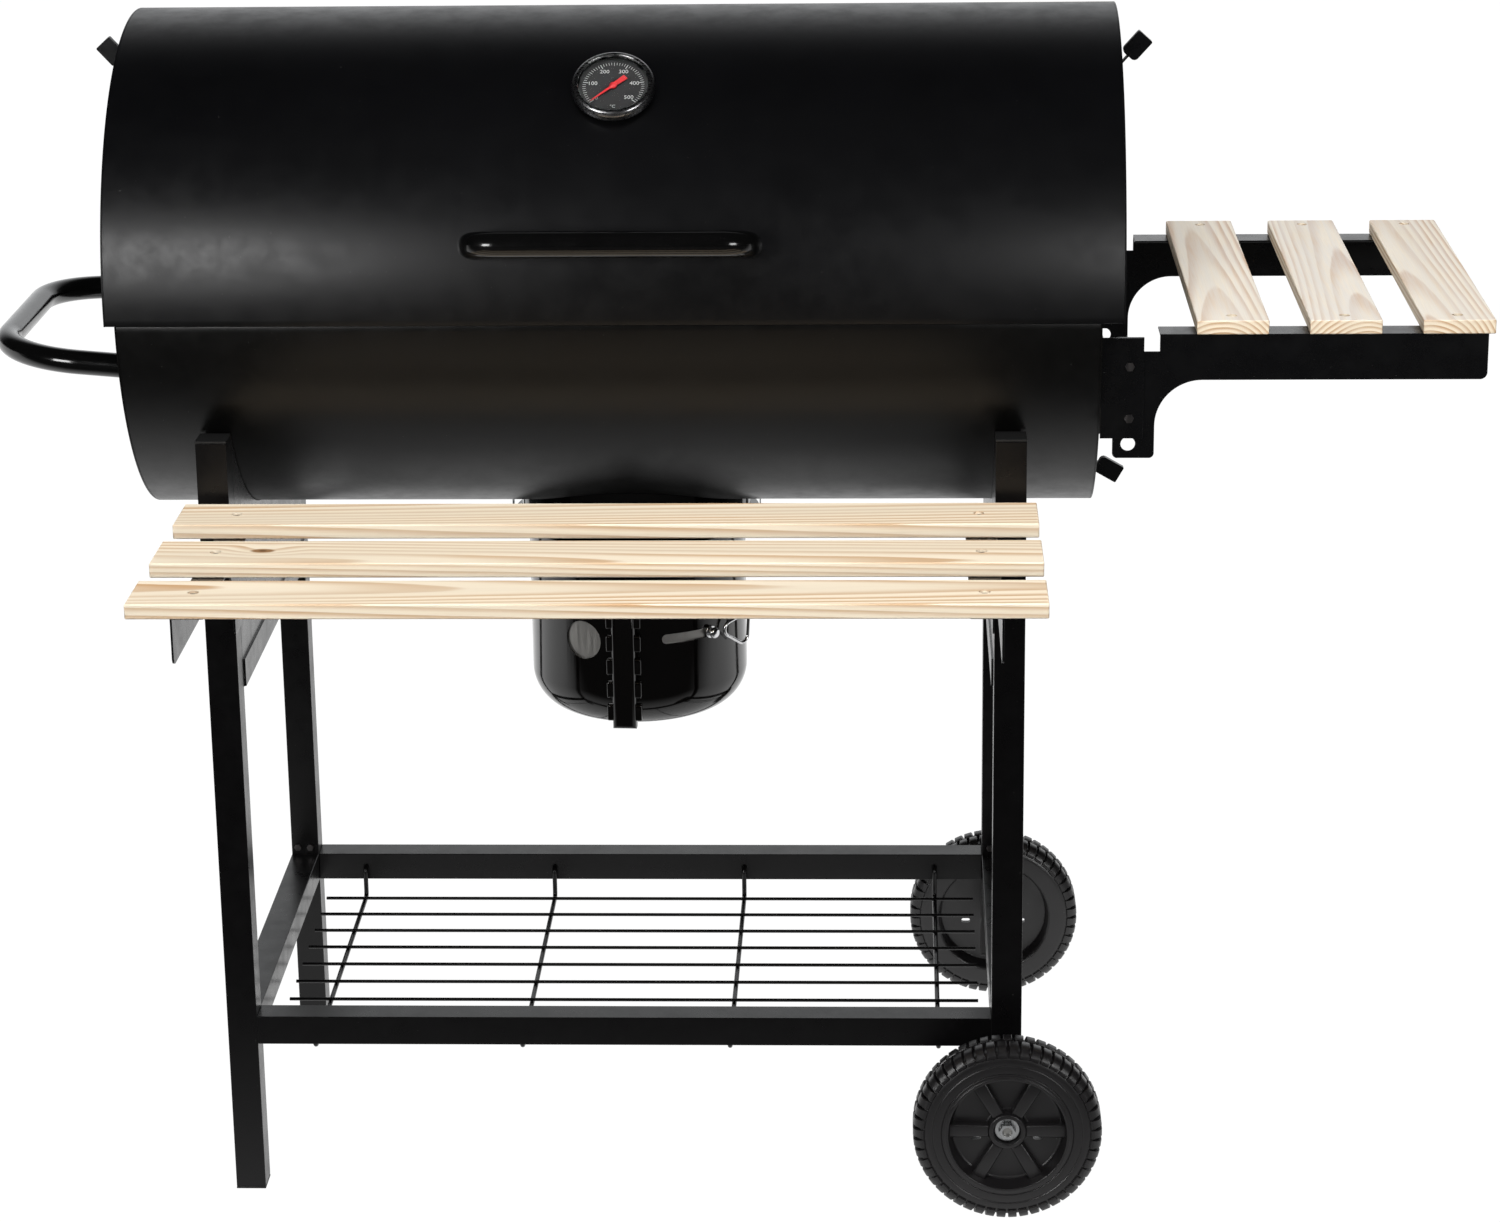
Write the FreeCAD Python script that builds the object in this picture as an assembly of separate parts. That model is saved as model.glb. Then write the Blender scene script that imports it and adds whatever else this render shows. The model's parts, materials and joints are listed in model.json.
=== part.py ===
import FreeCAD, Part
import math
import os
from FreeCAD import Vector, Rotation, Placement

# Barrel charcoal smoker on a wheeled cart, in millimetres.
# Everything is drawn about the barrel: X = 0 at its middle, Y = 0 on its axis, Z = 0 on the floor.
# Front is -Y, right is +X. save() shifts the pieces so the overall box is centred on the origin.

# barrel
axis_z = 920.0
body_radius = 246.0
lid_radius = 249.0
sheet = 1.5
body_length = 940.0
lid_length = 971.0
lid_shift = 6.0              # the lid hangs a little to the right of the body
lid_edge_z = 907.0
body_edge_z = 906.0
rim_width = 12.0

# lid fittings
handle_tube = 12.5
handle_half_span = 131.0
handle_standoff = 45.0
handle_angle = 14.5          # degrees up from the horizontal through the axis
gauge_angle = 51.0
gauge_radius = 40.0
needle_start = 222.0         # the zero mark, degrees from the dial's right-hand side

# hinges
pivot_y = 257.0
pivot_z = 906.5
knuckle_radius = 5.0
pin_radius = 3.0
hinge_width = 60.0
hinge_x = 300.0

# damper discs
disc_radius = 42.0
disc_gap = 0.4
vent_radius = 10.0
vent_circle = 25.0
lid_disc_z = 1082.0
body_disc_z = 754.0
grip_length = 26.0
grip_width = 18.0
grip_thickness = 7.0

# ash pot
pot_x = 9.0
pot_radius = 111.0
pot_wall = 1.5
pot_floor_z = 437.0
pot_rim_z = 650.9
knuckle_bend = 41.0
crown_bend = 260.0
rim_radius = 126.0
collar_radius = 117.0
ash_hole = 104.0
vent_z = 544.0
vent_hole = 20.0
pot_vent_angle = -27.5
slot_start = 18.0
slot_end = 46.0
knob_angle = 44.0
pot_grip_angle = -3.0

# cart
leg = 30.0
tube_wall = 1.5
leg_x = 385.0
leg_y = 226.0
leg_top = 789.5
right_leg_bottom = 72.0
cap_head = 2.5
rail_low = 161.0
cradle_low = 532.0
hem_height = 28.0
saddle_clearance = 0.4

# wire rack under the barrel
rack_z = 143.0
rack_wire = 2.5
rack_long_wire = 1.75
rack_pitch = 47.0
rack_long_half = 360.0
hook_positions = (-317.5, -105.8, 105.8, 317.5)

# wheels
wheel_radius = 94.0
wheel_half_width = 22.0
wheel_y = 285.0
axle_radius = 5.0
bore_clearance = 0.05

# shelves
slat_thickness = 14.0
front_slat_top = 735.0
front_slat_width = 72.0
front_slat_pitch = 124.0
front_slat_near = -260.0     # rear edge of the slat next to the barrel
front_slat_half = 409.0
side_slat_top = 904.0
side_slat_width = 68.5
side_slat_pitch = 107.0
side_slat_start = 560.5
side_slat_half = 225.0
plate = 2.0
arm_height = 45.0
arm_sweep = 45.0
tab_width = 40.0
tab_drop = 122.0
flange_width = 30.0

# carrying handle on the left end
side_handle_tube = 12.0
side_handle_half = 160.0
side_handle_z = 846.0
side_handle_rise = 12.0
side_handle_reach = 139.0
side_handle_bend = 86.0

# overall reach, used to centre the part
left_reach = body_length / 2 + side_handle_reach + side_handle_tube
right_reach = side_slat_start + 2 * side_slat_pitch + side_slat_width
front_reach = -front_slat_near + 2 * front_slat_pitch + front_slat_width
rear_reach = wheel_y + wheel_half_width
shift = Vector((left_reach - right_reach) / 2, (front_reach - rear_reach) / 2, 0)

x_axis = Vector(1, 0, 0)
y_axis = Vector(0, 1, 0)
z_axis = Vector(0, 0, 1)
pieces = {}


# ---- small tools ----

def box(x0, x1, y0, y1, z0, z1):
    return Part.makeBox(abs(x1 - x0), abs(y1 - y0), abs(z1 - z0),
                        Vector(min(x0, x1), min(y0, y1), min(z0, z1)))


def rod(radius, start, direction, length):
    return Part.makeCylinder(radius, length, start, direction)


def drum(radius, x0, x1):
    """Cylinder along the barrel's axis."""
    return rod(radius, Vector(x0, 0, axis_z), x_axis, x1 - x0)


def fused(shapes):
    shapes = list(shapes)
    return shapes[0].multiFuse(shapes[1:]).removeSplitter()


def cut_all(shape, tools):
    tools = list(tools)
    return shape.cut(Part.makeCompound(tools)) if tools else shape


def corner_path(points, radius, closed=False):
    """Straight runs joined by tangent arcs of one radius."""
    count = len(points)
    edges = []
    first = last = None
    for i in range(count):
        here = points[i]
        if not closed and i in (0, count - 1):
            enter = leave = here
        else:
            back = (points[i - 1] - here).normalize()
            ahead = (points[(i + 1) % count] - here).normalize()
            half = back.getAngle(ahead) / 2
            reach = radius / math.tan(half)
            enter = here + back * reach
            leave = here + ahead * reach
            middle = (back + ahead).normalize() * (radius / math.sin(half) - radius) + here
        if last is not None and (enter - last).Length > 1e-6:
            edges.append(Part.LineSegment(last, enter).toShape())
        if (enter - leave).Length > 1e-6:
            edges.append(Part.Arc(enter, middle, leave).toShape())
        if first is None:
            first = enter
        last = leave
    if closed:
        edges.append(Part.LineSegment(last, first).toShape())
    return Part.Wire(edges)


def bent_rod(radius, points, bend, closed=False, wall=0):
    """Round bar, or tube where a wall is given, along a path of runs and bends."""
    path = corner_path(points, bend, closed)
    edge = path.Edges[0]
    start = edge.valueAt(edge.FirstParameter)
    along = edge.tangentAt(edge.FirstParameter)
    solid = None
    for size in ([radius, radius - wall] if wall else [radius]):
        ring = Part.Wire([Part.Circle(start, along, size).toShape()])
        pipe = path.makePipeShell([ring], True, False)
        solid = pipe if solid is None else solid.cut(pipe)
    return solid


def outline_plate(points, thickness_vector):
    """Flat plate from an outline of (point, corner radius) pairs."""
    count = len(points)
    edges = []
    first = last = None
    for i, (here, radius) in enumerate(points):
        if radius:
            back = (points[i - 1][0] - here).normalize()
            ahead = (points[(i + 1) % count][0] - here).normalize()
            half = back.getAngle(ahead) / 2
            enter = here + back * (radius / math.tan(half))
            leave = here + ahead * (radius / math.tan(half))
            middle = here + (back + ahead).normalize() * (radius / math.sin(half) - radius)
        else:
            enter = leave = here
        if last is not None and (enter - last).Length > 1e-6:
            edges.append(Part.LineSegment(last, enter).toShape())
        if radius:
            edges.append(Part.Arc(enter, middle, leave).toShape())
        if first is None:
            first = enter
        last = leave
    if (first - last).Length > 1e-6:
        edges.append(Part.LineSegment(last, first).toShape())
    return Part.Face(Part.Wire(edges)).extrude(thickness_vector)


def square_tube(x0, x1, y0, y1, z0, z1, along):
    """Square tube, open at the two ends of its length."""
    bore = [x0 + tube_wall, x1 - tube_wall, y0 + tube_wall, y1 - tube_wall, z0 + tube_wall, z1 - tube_wall]
    start = {"x": 0, "y": 2, "z": 4}[along]
    bore[start] = (x0, y0, z0)[start // 2]
    bore[start + 1] = (x1, y1, z1)[start // 2]
    return box(x0, x1, y0, y1, z0, z1).cut(box(*bore))


def hexagon(across, start, direction, length):
    corners = []
    side = direction.cross(z_axis)
    side = x_axis if side.Length < 0.1 else side.normalize()
    other = direction.cross(side).normalize()
    for i in range(7):
        turn = math.radians(60 * i)
        corners.append(start + side * (across / math.sqrt(3) * math.cos(turn))
                       + other * (across / math.sqrt(3) * math.sin(turn)))
    return Part.Face(Part.makePolygon(corners)).extrude(direction * length)


def bolt(at, inwards, across=10.0, head=4.0, shank=3.0, length=10.0):
    """Hex bolt: the head stands on the face at the point given, the shank runs inwards."""
    return hexagon(across, at, inwards * -1, head).fuse(rod(shank, at, inwards, length))


def rivet(at, inwards, head_radius=4.5, head=1.8, shank=2.5, length=5.0):
    cap = Part.makeCone(head_radius, head_radius * 0.55, head, at, inwards * -1)
    return cap.fuse(rod(shank, at, inwards, length))


def radial(angle):
    """Direction away from the barrel's axis, degrees up from straight ahead."""
    turn = math.radians(angle)
    return Vector(0, -math.cos(turn), math.sin(turn))


def around_pot(angle, radius, z):
    """Point about the pot's axis, degrees from straight ahead towards the right."""
    turn = math.radians(angle)
    return Vector(pot_x + radius * math.sin(turn), -radius * math.cos(turn), z)


def pot_outwards(angle):
    turn = math.radians(angle)
    return Vector(math.sin(turn), -math.cos(turn), 0)


def mirror_x(shape):
    return shape.mirror(Vector(0, 0, 0), x_axis)


def mirror_y(shape):
    return shape.mirror(Vector(0, 0, 0), y_axis)


# ---- where the fasteners go, shared by the holes and the bolts ----

ends_x = body_length / 2
lid_low_x = lid_shift - lid_length / 2
lid_high_x = lid_shift + lid_length / 2
leg_in = leg_x - leg / 2
leg_out = leg_x + leg / 2
frame_in = leg_y - leg / 2
frame_out = leg_y + leg / 2

lid_rivets = [Vector(side * hinge_x + dx, lid_radius + 2.35, z)
              for side in (-1, 1) for dx in (-20, 20) for z in (921, 936)]
body_rivets = [Vector(side * hinge_x + dx, body_radius + 1.0, z)
               for side in (-1, 1) for dx in (-20, 20) for z in (876, 892)]
cradle_bolts = [Vector(sx * 383, sy * (frame_in - plate - 0.1), z)
                for sx in (-1, 1) for sy in (-1, 1) for z in (600, 720)]
arm_bolts = [Vector(side * (leg_in - plate), -leg_y, z) for side in (-1, 1) for z in (633, 700)]
rail_bolts = [Vector(side * x, frame_in, 199) for side in (-1, 1) for x in (379, 393)]
angle_bolts = [Vector(ends_x + plate, side * 203, z) for side in (-1, 1) for z in (832, 872)]
bracket_screws = [Vector(497.5, side * 224, z) for side in (-1, 1) for z in (808, 859)]
handle_bolts = [Vector(-ends_x + sheet, side * side_handle_half, side_handle_z) for side in (-1, 1)]
lid_handle_bolts = [Vector(lid_shift + side * handle_half_span, 0, 0) for side in (-1, 1)]

front_mid_y = front_slat_near - front_slat_width / 2
front_screws = [Vector(side * 353, front_mid_y - i * front_slat_pitch, front_slat_top)
                for side in (-1, 1) for i in range(3)]
side_screws = [Vector(side_slat_start + side_slat_width / 2 + i * side_slat_pitch, side * 205, side_slat_top)
               for side in (-1, 1) for i in range(3)]


def vent_holes(centre, depth, turn=0.0):
    """Four air holes about a damper's pivot, cut along the barrel's axis."""
    holes = []
    for i in range(4):
        angle = math.radians(45 + 90 * i + turn)
        at = centre + Vector(-depth / 2, vent_circle * math.cos(angle), vent_circle * math.sin(angle))
        holes.append(rod(vent_radius, at, x_axis, depth))
    return holes


# ---- barrel body ----

def half_drum(radius, x0, x1, upper, edge):
    whole = drum(radius, x0, x1)
    reach = radius + 10
    low, high = (edge, axis_z + reach) if upper else (axis_z - reach, edge)
    return whole.common(box(x0 - 1, x1 + 1, -reach, reach, low, high))


inner_body = body_radius - sheet
shell = half_drum(body_radius, -ends_x + sheet, ends_x - sheet, False, body_edge_z)
shell = shell.cut(drum(inner_body, -ends_x, ends_x))
edge_y = math.sqrt(inner_body ** 2 - (axis_z - body_edge_z) ** 2)
rim = box(-ends_x + sheet, ends_x - sheet, edge_y - rim_width, edge_y + 0.8, body_edge_z - sheet, body_edge_z)
shell = fused([shell, rim, mirror_y(rim)])
cuts = [rod(ash_hole, Vector(pot_x, 0, axis_z - 300), z_axis, 200)]
cuts += [rod(2.6, at + y_axis, y_axis * -1, 12) for at in body_rivets]
pieces["body_shell"] = cut_all(shell, cuts)

for side, name in ((-1, "left"), (1, "right")):
    low = min(side * ends_x, side * (ends_x - sheet))
    end = half_drum(body_radius, low, low + sheet, False, body_edge_z)
    centre = Vector(side * ends_x, 0, body_disc_z)
    cuts = vent_holes(centre, 8) + [rod(3.1, centre - x_axis * 5, x_axis, 10)]
    if side < 0:
        cuts += [rod(4.1, at - x_axis * 5, x_axis, 10) for at in handle_bolts]
    else:
        cuts += [rod(3.1, at - x_axis * 9, x_axis, 18) for at in angle_bolts]
    pieces["body_end_" + name] = cut_all(end, cuts)

# ---- lid ----

outer = half_drum(lid_radius, lid_low_x + sheet, lid_high_x - sheet, True, lid_edge_z)
shell = outer.cut(drum(lid_radius - sheet, lid_low_x, lid_high_x))
gauge_out = radial(gauge_angle)
axis_point = Vector(lid_shift, 0, axis_z)
cuts = [rod(6.1, axis_point + gauge_out * 235, gauge_out, 30)]
cuts += [rod(4.1, at + Vector(0, 0, axis_z) + radial(handle_angle) * 235, radial(handle_angle), 30)
         for at in lid_handle_bolts]
cuts += [rod(2.6, at + y_axis, y_axis * -1, 12) for at in lid_rivets]
pieces["lid_shell"] = cut_all(shell, cuts)

for side, name in ((-1, "left"), (1, "right")):
    face = lid_high_x if side > 0 else lid_low_x
    low = min(face, face - side * sheet)
    end = half_drum(lid_radius, low, low + sheet, True, lid_edge_z)
    centre = Vector(face, 0, lid_disc_z)
    rivet_hole = rod(3.1, centre - x_axis * 5, x_axis, 10)
    pieces["lid_end_" + name] = cut_all(end, vent_holes(centre, 8) + [rivet_hole])

# The handle is a bent tube that stands off the lid on its own two ends.
out = radial(handle_angle)
foot = axis_point + out * (lid_radius + 0.35)
bar = axis_point + out * (lid_radius + handle_standoff)
span = x_axis * handle_half_span
pieces["lid_handle"] = bent_rod(handle_tube, [foot - span, bar - span, bar + span, foot + span], 28, wall=2)
# saddle the tube's ends to the curve of the lid
pieces["lid_handle"] = pieces["lid_handle"].cut(drum(lid_radius + 0.3, lid_low_x, lid_high_x))

# ---- thermometer ----

gauge_place = Placement(axis_point + gauge_out * lid_radius, Rotation(x_axis, 90 - gauge_angle))


def on_gauge(shape):
    shape.Placement = gauge_place.multiply(shape.Placement)
    return shape


flange_z = 5.0
case = Part.makeCylinder(gauge_radius - 2, 7, Vector(0, 0, flange_z))
case = case.cut(Part.makeCylinder(gauge_radius - 4, 6, Vector(0, 0, flange_z + 1.5)))
neck = Part.makeCylinder(9, flange_z - 0.6, Vector(0, 0, 0.6))
stem = Part.makeCylinder(6, 18, Vector(0, 0, -17))
probe = Part.makeCylinder(3, 60, Vector(0, 0, -70))
gauge_body = fused([case, neck, stem, probe])
bezel_section = [(gauge_radius - 2 + 0.1, flange_z - 1), (gauge_radius, flange_z),
                 (gauge_radius, flange_z + 6.5), (gauge_radius - 2.5, flange_z + 10),
                 (gauge_radius - 6, flange_z + 10.5), (gauge_radius - 6, flange_z + 8.6),
                 (gauge_radius - 2 + 0.1, flange_z + 8.6)]
ring = Part.Face(Part.makePolygon([Vector(r, 0, z) for r, z in bezel_section + bezel_section[:1]]))
bezel = ring.revolve(Vector(0, 0, 0), z_axis, 360)
pieces["thermometer_case"] = on_gauge(Part.makeCompound([gauge_body, bezel]))
dial = Part.makeCylinder(gauge_radius - 4.2, 1.0, Vector(0, 0, flange_z + 1.8))
spindle_hole = Part.makeCylinder(1.3, 10, Vector(0, 0, flange_z))
pieces["thermometer_dial"] = on_gauge(dial.cut(spindle_hole))
glass = Part.makeCylinder(gauge_radius - 4.2, 1.2, Vector(0, 0, flange_z + 7.2))
pieces["thermometer_glass"] = on_gauge(glass)

hub_z = flange_z + 3.3
hub = Part.makeCylinder(3.5, 2.2, Vector(0, 0, hub_z))
hub = hub.fuse(Part.makeCylinder(1.2, 2.6, Vector(0, 0, flange_z + 1.6)))
pointer = [(-1.6, 0), (-0.8, 25), (0, 28), (0.8, 25), (1.6, 0), (2.6, -9), (-2.6, -9)]
blade = Part.Face(Part.makePolygon([Vector(x, y, hub_z + 0.5) for x, y in pointer + pointer[:1]]))
needle = hub.fuse(blade.extrude(Vector(0, 0, 1.0)))
needle.rotate(Vector(0, 0, 0), z_axis, needle_start - 90)
pieces["thermometer_needle"] = on_gauge(needle)

# ---- hinges at the back ----

def knuckle(x0, x1):
    return rod(knuckle_radius, Vector(x0, pivot_y, pivot_z), x_axis, x1 - x0)


def curved_leaf(radius, x0, x1, z0, z1):
    skin = drum(radius + 2, x0, x1).cut(drum(radius, x0 - 1, x1 + 1))
    return skin.common(box(x0, x1, 0, radius + 10, z0, z1))


lid_leaves = []
body_leaves = []
pins = []
third = hinge_width / 3
gap = 0.4
for side in (-1, 1):
    low = side * hinge_x - hinge_width / 2
    high = low + hinge_width
    bore = rod(pin_radius + bore_clearance, Vector(low - 1, pivot_y, pivot_z), x_axis, hinge_width + 2)
    mid = (low + third + gap, high - third - gap)
    leaf = fused([curved_leaf(lid_radius + 0.3, low, high, lid_edge_z + 2, 945), knuckle(*mid),
                  box(*mid, lid_radius + 0.4, pivot_y - 2, pivot_z + 2.2, pivot_z + 4.9)])
    holes = [rod(2.6, at + y_axis, y_axis * -1, 12) for at in lid_rivets]
    lid_leaves.append(cut_all(leaf, holes + [bore]))
    parts = [curved_leaf(body_radius + 0.3, low, high, 864, 904)]
    for x0, x1 in ((low, low + third), (high - third, high)):
        parts += [knuckle(x0, x1), box(x0, x1, body_radius + 0.5, pivot_y - 2, 901.6, 904)]
    holes = [rod(2.6, at + y_axis * 2, y_axis * -1, 14) for at in body_rivets]
    body_leaves.append(cut_all(fused(parts), holes + [bore]))
    pins.append(rod(pin_radius, Vector(low, pivot_y, pivot_z), x_axis, hinge_width))
pieces["hinge_lid_leaves"] = Part.makeCompound(lid_leaves)
pieces["hinge_body_leaves"] = Part.makeCompound(body_leaves + pins)

# ---- dampers on the four end plates ----

def damper(face_x, side, centre_z, tilt, lug_y, lug_up, near):
    """Vent disc with a lug at its edge, lug_up above its middle; tilt is the lug's angle from level.

    near is how far out along the lug the grip starts."""
    centre = Vector(face_x, 0, centre_z)
    low = face_x + side * disc_gap
    disc = rod(disc_radius, Vector(low, 0, centre_z), x_axis * side, sheet)
    disc = cut_all(disc, vent_holes(centre, 8, 45) + [rod(3.05, centre - x_axis * 5, x_axis, 10)])
    up = 1 if tilt > 0 else -1
    root_z = centre_z + lug_up
    neck = box(low, low + side * sheet, lug_y - 5, lug_y + 5, root_z, root_z + up * 9)
    strut = box(0, near + 3, -5, 5, -0.75, 0.75)
    strut.rotate(Vector(0, 0, 0), y_axis, -tilt if side > 0 else tilt - 180)
    strut.translate(Vector(low + side * 0.75, lug_y, root_z + up * 8.2))
    far, wide = near + grip_length, grip_width / 2
    grip = outline_plate([(Vector(near, 0, -wide), 5), (Vector(far, 0, -wide), 1.5),
                          (Vector(far, 0, wide), 1.5), (Vector(near, 0, wide), 5)], y_axis * grip_thickness)
    grip.translate(Vector(0, -grip_thickness / 2, 0))
    grip.rotate(Vector(0, 0, 0), y_axis, -tilt if side > 0 else tilt - 180)
    grip.translate(Vector(low + side * 0.75, lug_y, root_z + up * 8.2))
    return fused([disc, neck, strut, grip])


for side, name in ((-1, "left"), (1, "right")):
    face = lid_high_x if side > 0 else lid_low_x
    pieces["lid_damper_" + name] = damper(face, side, lid_disc_z, 48, -30.0, 23.0, 14)
    pieces["body_damper_" + name] = damper(side * ends_x, side, body_disc_z, -30, side * -22.0, -33.0, 9)


def damper_rivet(face_x, side, centre_z):
    thickness = sheet * 2 + disc_gap * 2
    at = Vector(face_x + side * (sheet + disc_gap * 2), 0, centre_z)
    pin = rod(3.0, at, x_axis * -side, thickness)
    outer_head = Part.makeCone(7, 4, 2.2, at, x_axis * side)
    inner_head = rod(5.5, at - x_axis * (side * (thickness + 0.01)), x_axis * -side, 1.5)
    return fused([pin, outer_head, inner_head])


# ---- grates inside the barrel ----

def grate(x0, x1, half_width, z, bar, bar_pitch, cross_at, cross_drop, frame):
    """Bars across the barrel on cross rods, welded into one grid."""
    count = int((x1 - x0 - 2 * bar) // bar_pitch)
    step = (x1 - x0 - 2 * bar) / count
    rods = [rod(bar, Vector(x0 + bar + i * step, -half_width, z), y_axis, 2 * half_width)
            for i in range(count + 1)]
    rods += [rod(bar + 0.5, Vector(x0, y, z - cross_drop), x_axis, x1 - x0) for y in cross_at]
    if frame:
        rods += [rod(bar + 0.6, Vector(x0 - 1, side * half_width, z), x_axis, x1 - x0 + 2)
                 for side in (-1, 1)]
    return fused(rods)


cooking_grate = grate(4, 464, 232, 890.4, 2.5, 20, (-130, 0, 130), 5.0, True)
pieces["cooking_grate_right"] = cooking_grate
pieces["cooking_grate_left"] = mirror_x(cooking_grate)
pieces["charcoal_grate"] = grate(-440, 440, 192, 780, 4, 26, (-120, 0, 120), 7.5, False)
ledge = box(-462, 462, 217, 238.6, 885.5, 887).fuse(box(-462, 462, 237.1, 238.6, 871, 887))
pieces["grate_ledges"] = Part.makeCompound([ledge, mirror_y(ledge)])

# ---- ash pot under the barrel ----

collar = rod(collar_radius, Vector(pot_x, 0, 652), z_axis, 90)
collar = collar.cut(rod(collar_radius - sheet, Vector(pot_x, 0, 640), z_axis, 110))
lip = rod(rim_radius, Vector(pot_x, 0, 652), z_axis, 2).cut(
    rod(collar_radius - sheet, Vector(pot_x, 0, 650), z_axis, 5))
pieces["pot_collar"] = collar.fuse(lip).cut(drum(body_radius + 0.2, -300, 300)).removeSplitter()


def bowl_solid(radius, knuckle_size, crown, bottom_z, top_z):
    """Straight wall with a dished bottom: a knuckle arc and a shallow crown."""
    knuckle_r = radius - knuckle_size
    crown_z = bottom_z + crown
    knuckle_z = crown_z - math.sqrt((crown - knuckle_size) ** 2 - knuckle_r ** 2)
    towards = Vector(knuckle_r, 0, knuckle_z - crown_z).normalize()
    join = Vector(0, 0, crown_z) + towards * crown
    crown_mid_angle = math.atan2(towards.x, -towards.z) / 2
    crown_mid = Vector(crown * math.sin(crown_mid_angle), 0, crown_z - crown * math.cos(crown_mid_angle))
    bend_mid = Vector(knuckle_r, 0, knuckle_z) + (towards + x_axis).normalize() * knuckle_size
    start = Vector(0, 0, bottom_z)
    wall_low = Vector(radius, 0, knuckle_z)
    wall_top = Vector(radius, 0, top_z)
    top = Vector(0, 0, top_z)
    edges = [Part.Arc(start, crown_mid, join).toShape(), Part.Arc(join, bend_mid, wall_low).toShape(),
             Part.LineSegment(wall_low, wall_top).toShape(), Part.LineSegment(wall_top, top).toShape(),
             Part.LineSegment(top, start).toShape()]
    solid = Part.Face(Part.Wire(edges)).revolve(Vector(0, 0, 0), z_axis, 360)
    solid.translate(Vector(pot_x, 0, 0))
    return solid


pot = bowl_solid(pot_radius, knuckle_bend, crown_bend, pot_floor_z, pot_rim_z)
pot = pot.fuse(rod(rim_radius, Vector(pot_x, 0, pot_rim_z - 1.7), z_axis, 1.7))
pot = pot.cut(bowl_solid(pot_radius - pot_wall, knuckle_bend - pot_wall, crown_bend - pot_wall,
                         pot_floor_z + pot_wall, pot_rim_z + 5))
vent = rod(vent_hole, around_pot(pot_vent_angle, 90, vent_z), pot_outwards(pot_vent_angle), 40)


def ring_sector(inner, outer, z0, z1, start, end):
    turn = math.radians(start)
    along = Vector(math.sin(turn), -math.cos(turn), 0)
    centre = Vector(pot_x, 0, 0)
    corners = [centre + along * inner + z_axis * z0, centre + along * outer + z_axis * z0,
               centre + along * outer + z_axis * z1, centre + along * inner + z_axis * z1]
    return Part.Face(Part.makePolygon(corners + corners[:1])).revolve(centre, z_axis, end - start)


slot = ring_sector(100, 120, vent_z - 2, vent_z + 8, slot_start, slot_end)
slot_mid_z = vent_z + 3
grip_feet = (500.0, 596.0)
feet_holes = [rod(2.1, around_pot(pot_grip_angle, 100, z), pot_outwards(pot_grip_angle), 20)
              for z in grip_feet]
pieces["ash_pot"] = cut_all(pot, [vent, slot] + feet_holes).removeSplitter()


def pot_grip():
    """Upright bar on two feet, its sides stepped for the fingers."""
    bar = box(-12, 12, -146, -131, 464, 612)
    bar = bar.makeFillet(4, [e for e in bar.Edges if e.BoundBox.YMax < -145])
    wings = [box(-17.5, 17.5, -142, -133, z, z + 17) for z in (472, 496.3, 520.6, 544.9, 569.2, 593.5)]
    feet = [box(-9, 9, -133, -pot_radius - 0.3, z - 8, z + 8) for z in grip_feet]
    return fused([bar] + wings + feet)


grip = pot_grip()
grip = grip.cut(Part.makeCylinder(pot_radius + 0.2, 300, Vector(0, 0, 400)))
grip_holes = [rod(2.1, Vector(0, -100, z), y_axis * -1, 24) for z in grip_feet]
grip = cut_all(grip, grip_holes)
grip.rotate(Vector(0, 0, 0), z_axis, pot_grip_angle)
grip.translate(Vector(pot_x, 0, 0))
pieces["pot_grip"] = grip

pot_screws = []
for z in grip_feet:
    screw = rivet(around_pot(pot_grip_angle, pot_radius - pot_wall - 0.2, z), pot_outwards(pot_grip_angle),
                  4, 1.5, 2.0, 14)
    pot_screws.append(screw)

# spring clips on the pot's rim press on the edge of the collar
clips = []
for side in (-1, 1):
    clip = fused([box(rim_radius + 0.4, rim_radius + 1.4, -7, 7, 646, 672),
                  box(118, rim_radius + 1.4, -7, 7, pot_rim_z - 2.9, pot_rim_z - 1.9),
                  box(rim_radius + 0.4, rim_radius + 7, -7, 7, 671, 672)])
    clip = clip.fuse(box(117.5, 122.5, -3, 3, pot_rim_z - 4.6, pot_rim_z - 2.9))
    if side < 0:
        clip = mirror_x(clip)
    clip.translate(Vector(pot_x, 0, 0))
    clips.append(clip)
pieces["pot_clips"] = Part.makeCompound(clips)
pieces["pot_screws"] = Part.makeCompound(pot_screws)

# sliding ring that opens or closes the pot's vent
band_outer = pot_radius - pot_wall - 0.4
band = rod(band_outer, Vector(pot_x, 0, vent_z - 28), z_axis, 56)
band = band.cut(rod(band_outer - 1.2, Vector(pot_x, 0, vent_z - 40), z_axis, 80))
travel = slot_end - slot_start - 4
open_angle = pot_vent_angle + travel
open_hole = rod(vent_hole, around_pot(open_angle, 90, vent_z), pot_outwards(open_angle), 40)
knob_hole = rod(3.05, around_pot(knob_angle, 90, slot_mid_z), pot_outwards(knob_angle), 40)
pieces["vent_ring"] = cut_all(band, [open_hole, knob_hole])
outwards = pot_outwards(knob_angle)
knob = fused([rod(3.0, around_pot(knob_angle, band_outer - 1.2, slot_mid_z), outwards, 14),
              rod(6.5, around_pot(knob_angle, pot_radius + 0.5, slot_mid_z), outwards, 1.2),
              Part.makeCone(5.5, 3.5, 3.5, around_pot(knob_angle, pot_radius + 5.6, slot_mid_z), outwards)])
along = Vector(math.cos(math.radians(knob_angle)), math.sin(math.radians(knob_angle)), 0)
eye = around_pot(knob_angle, pot_radius + 3.6, slot_mid_z)
loop_points = [eye + along * s + z_axis * z for s, z in ((5.2, 2), (50, 12), (47, -26))]
pieces["vent_pull"] = Part.makeCompound([knob, bent_rod(1.75, loop_points, 7.5, closed=True)])

# ---- cart: legs, rails, cradles ----

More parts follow.
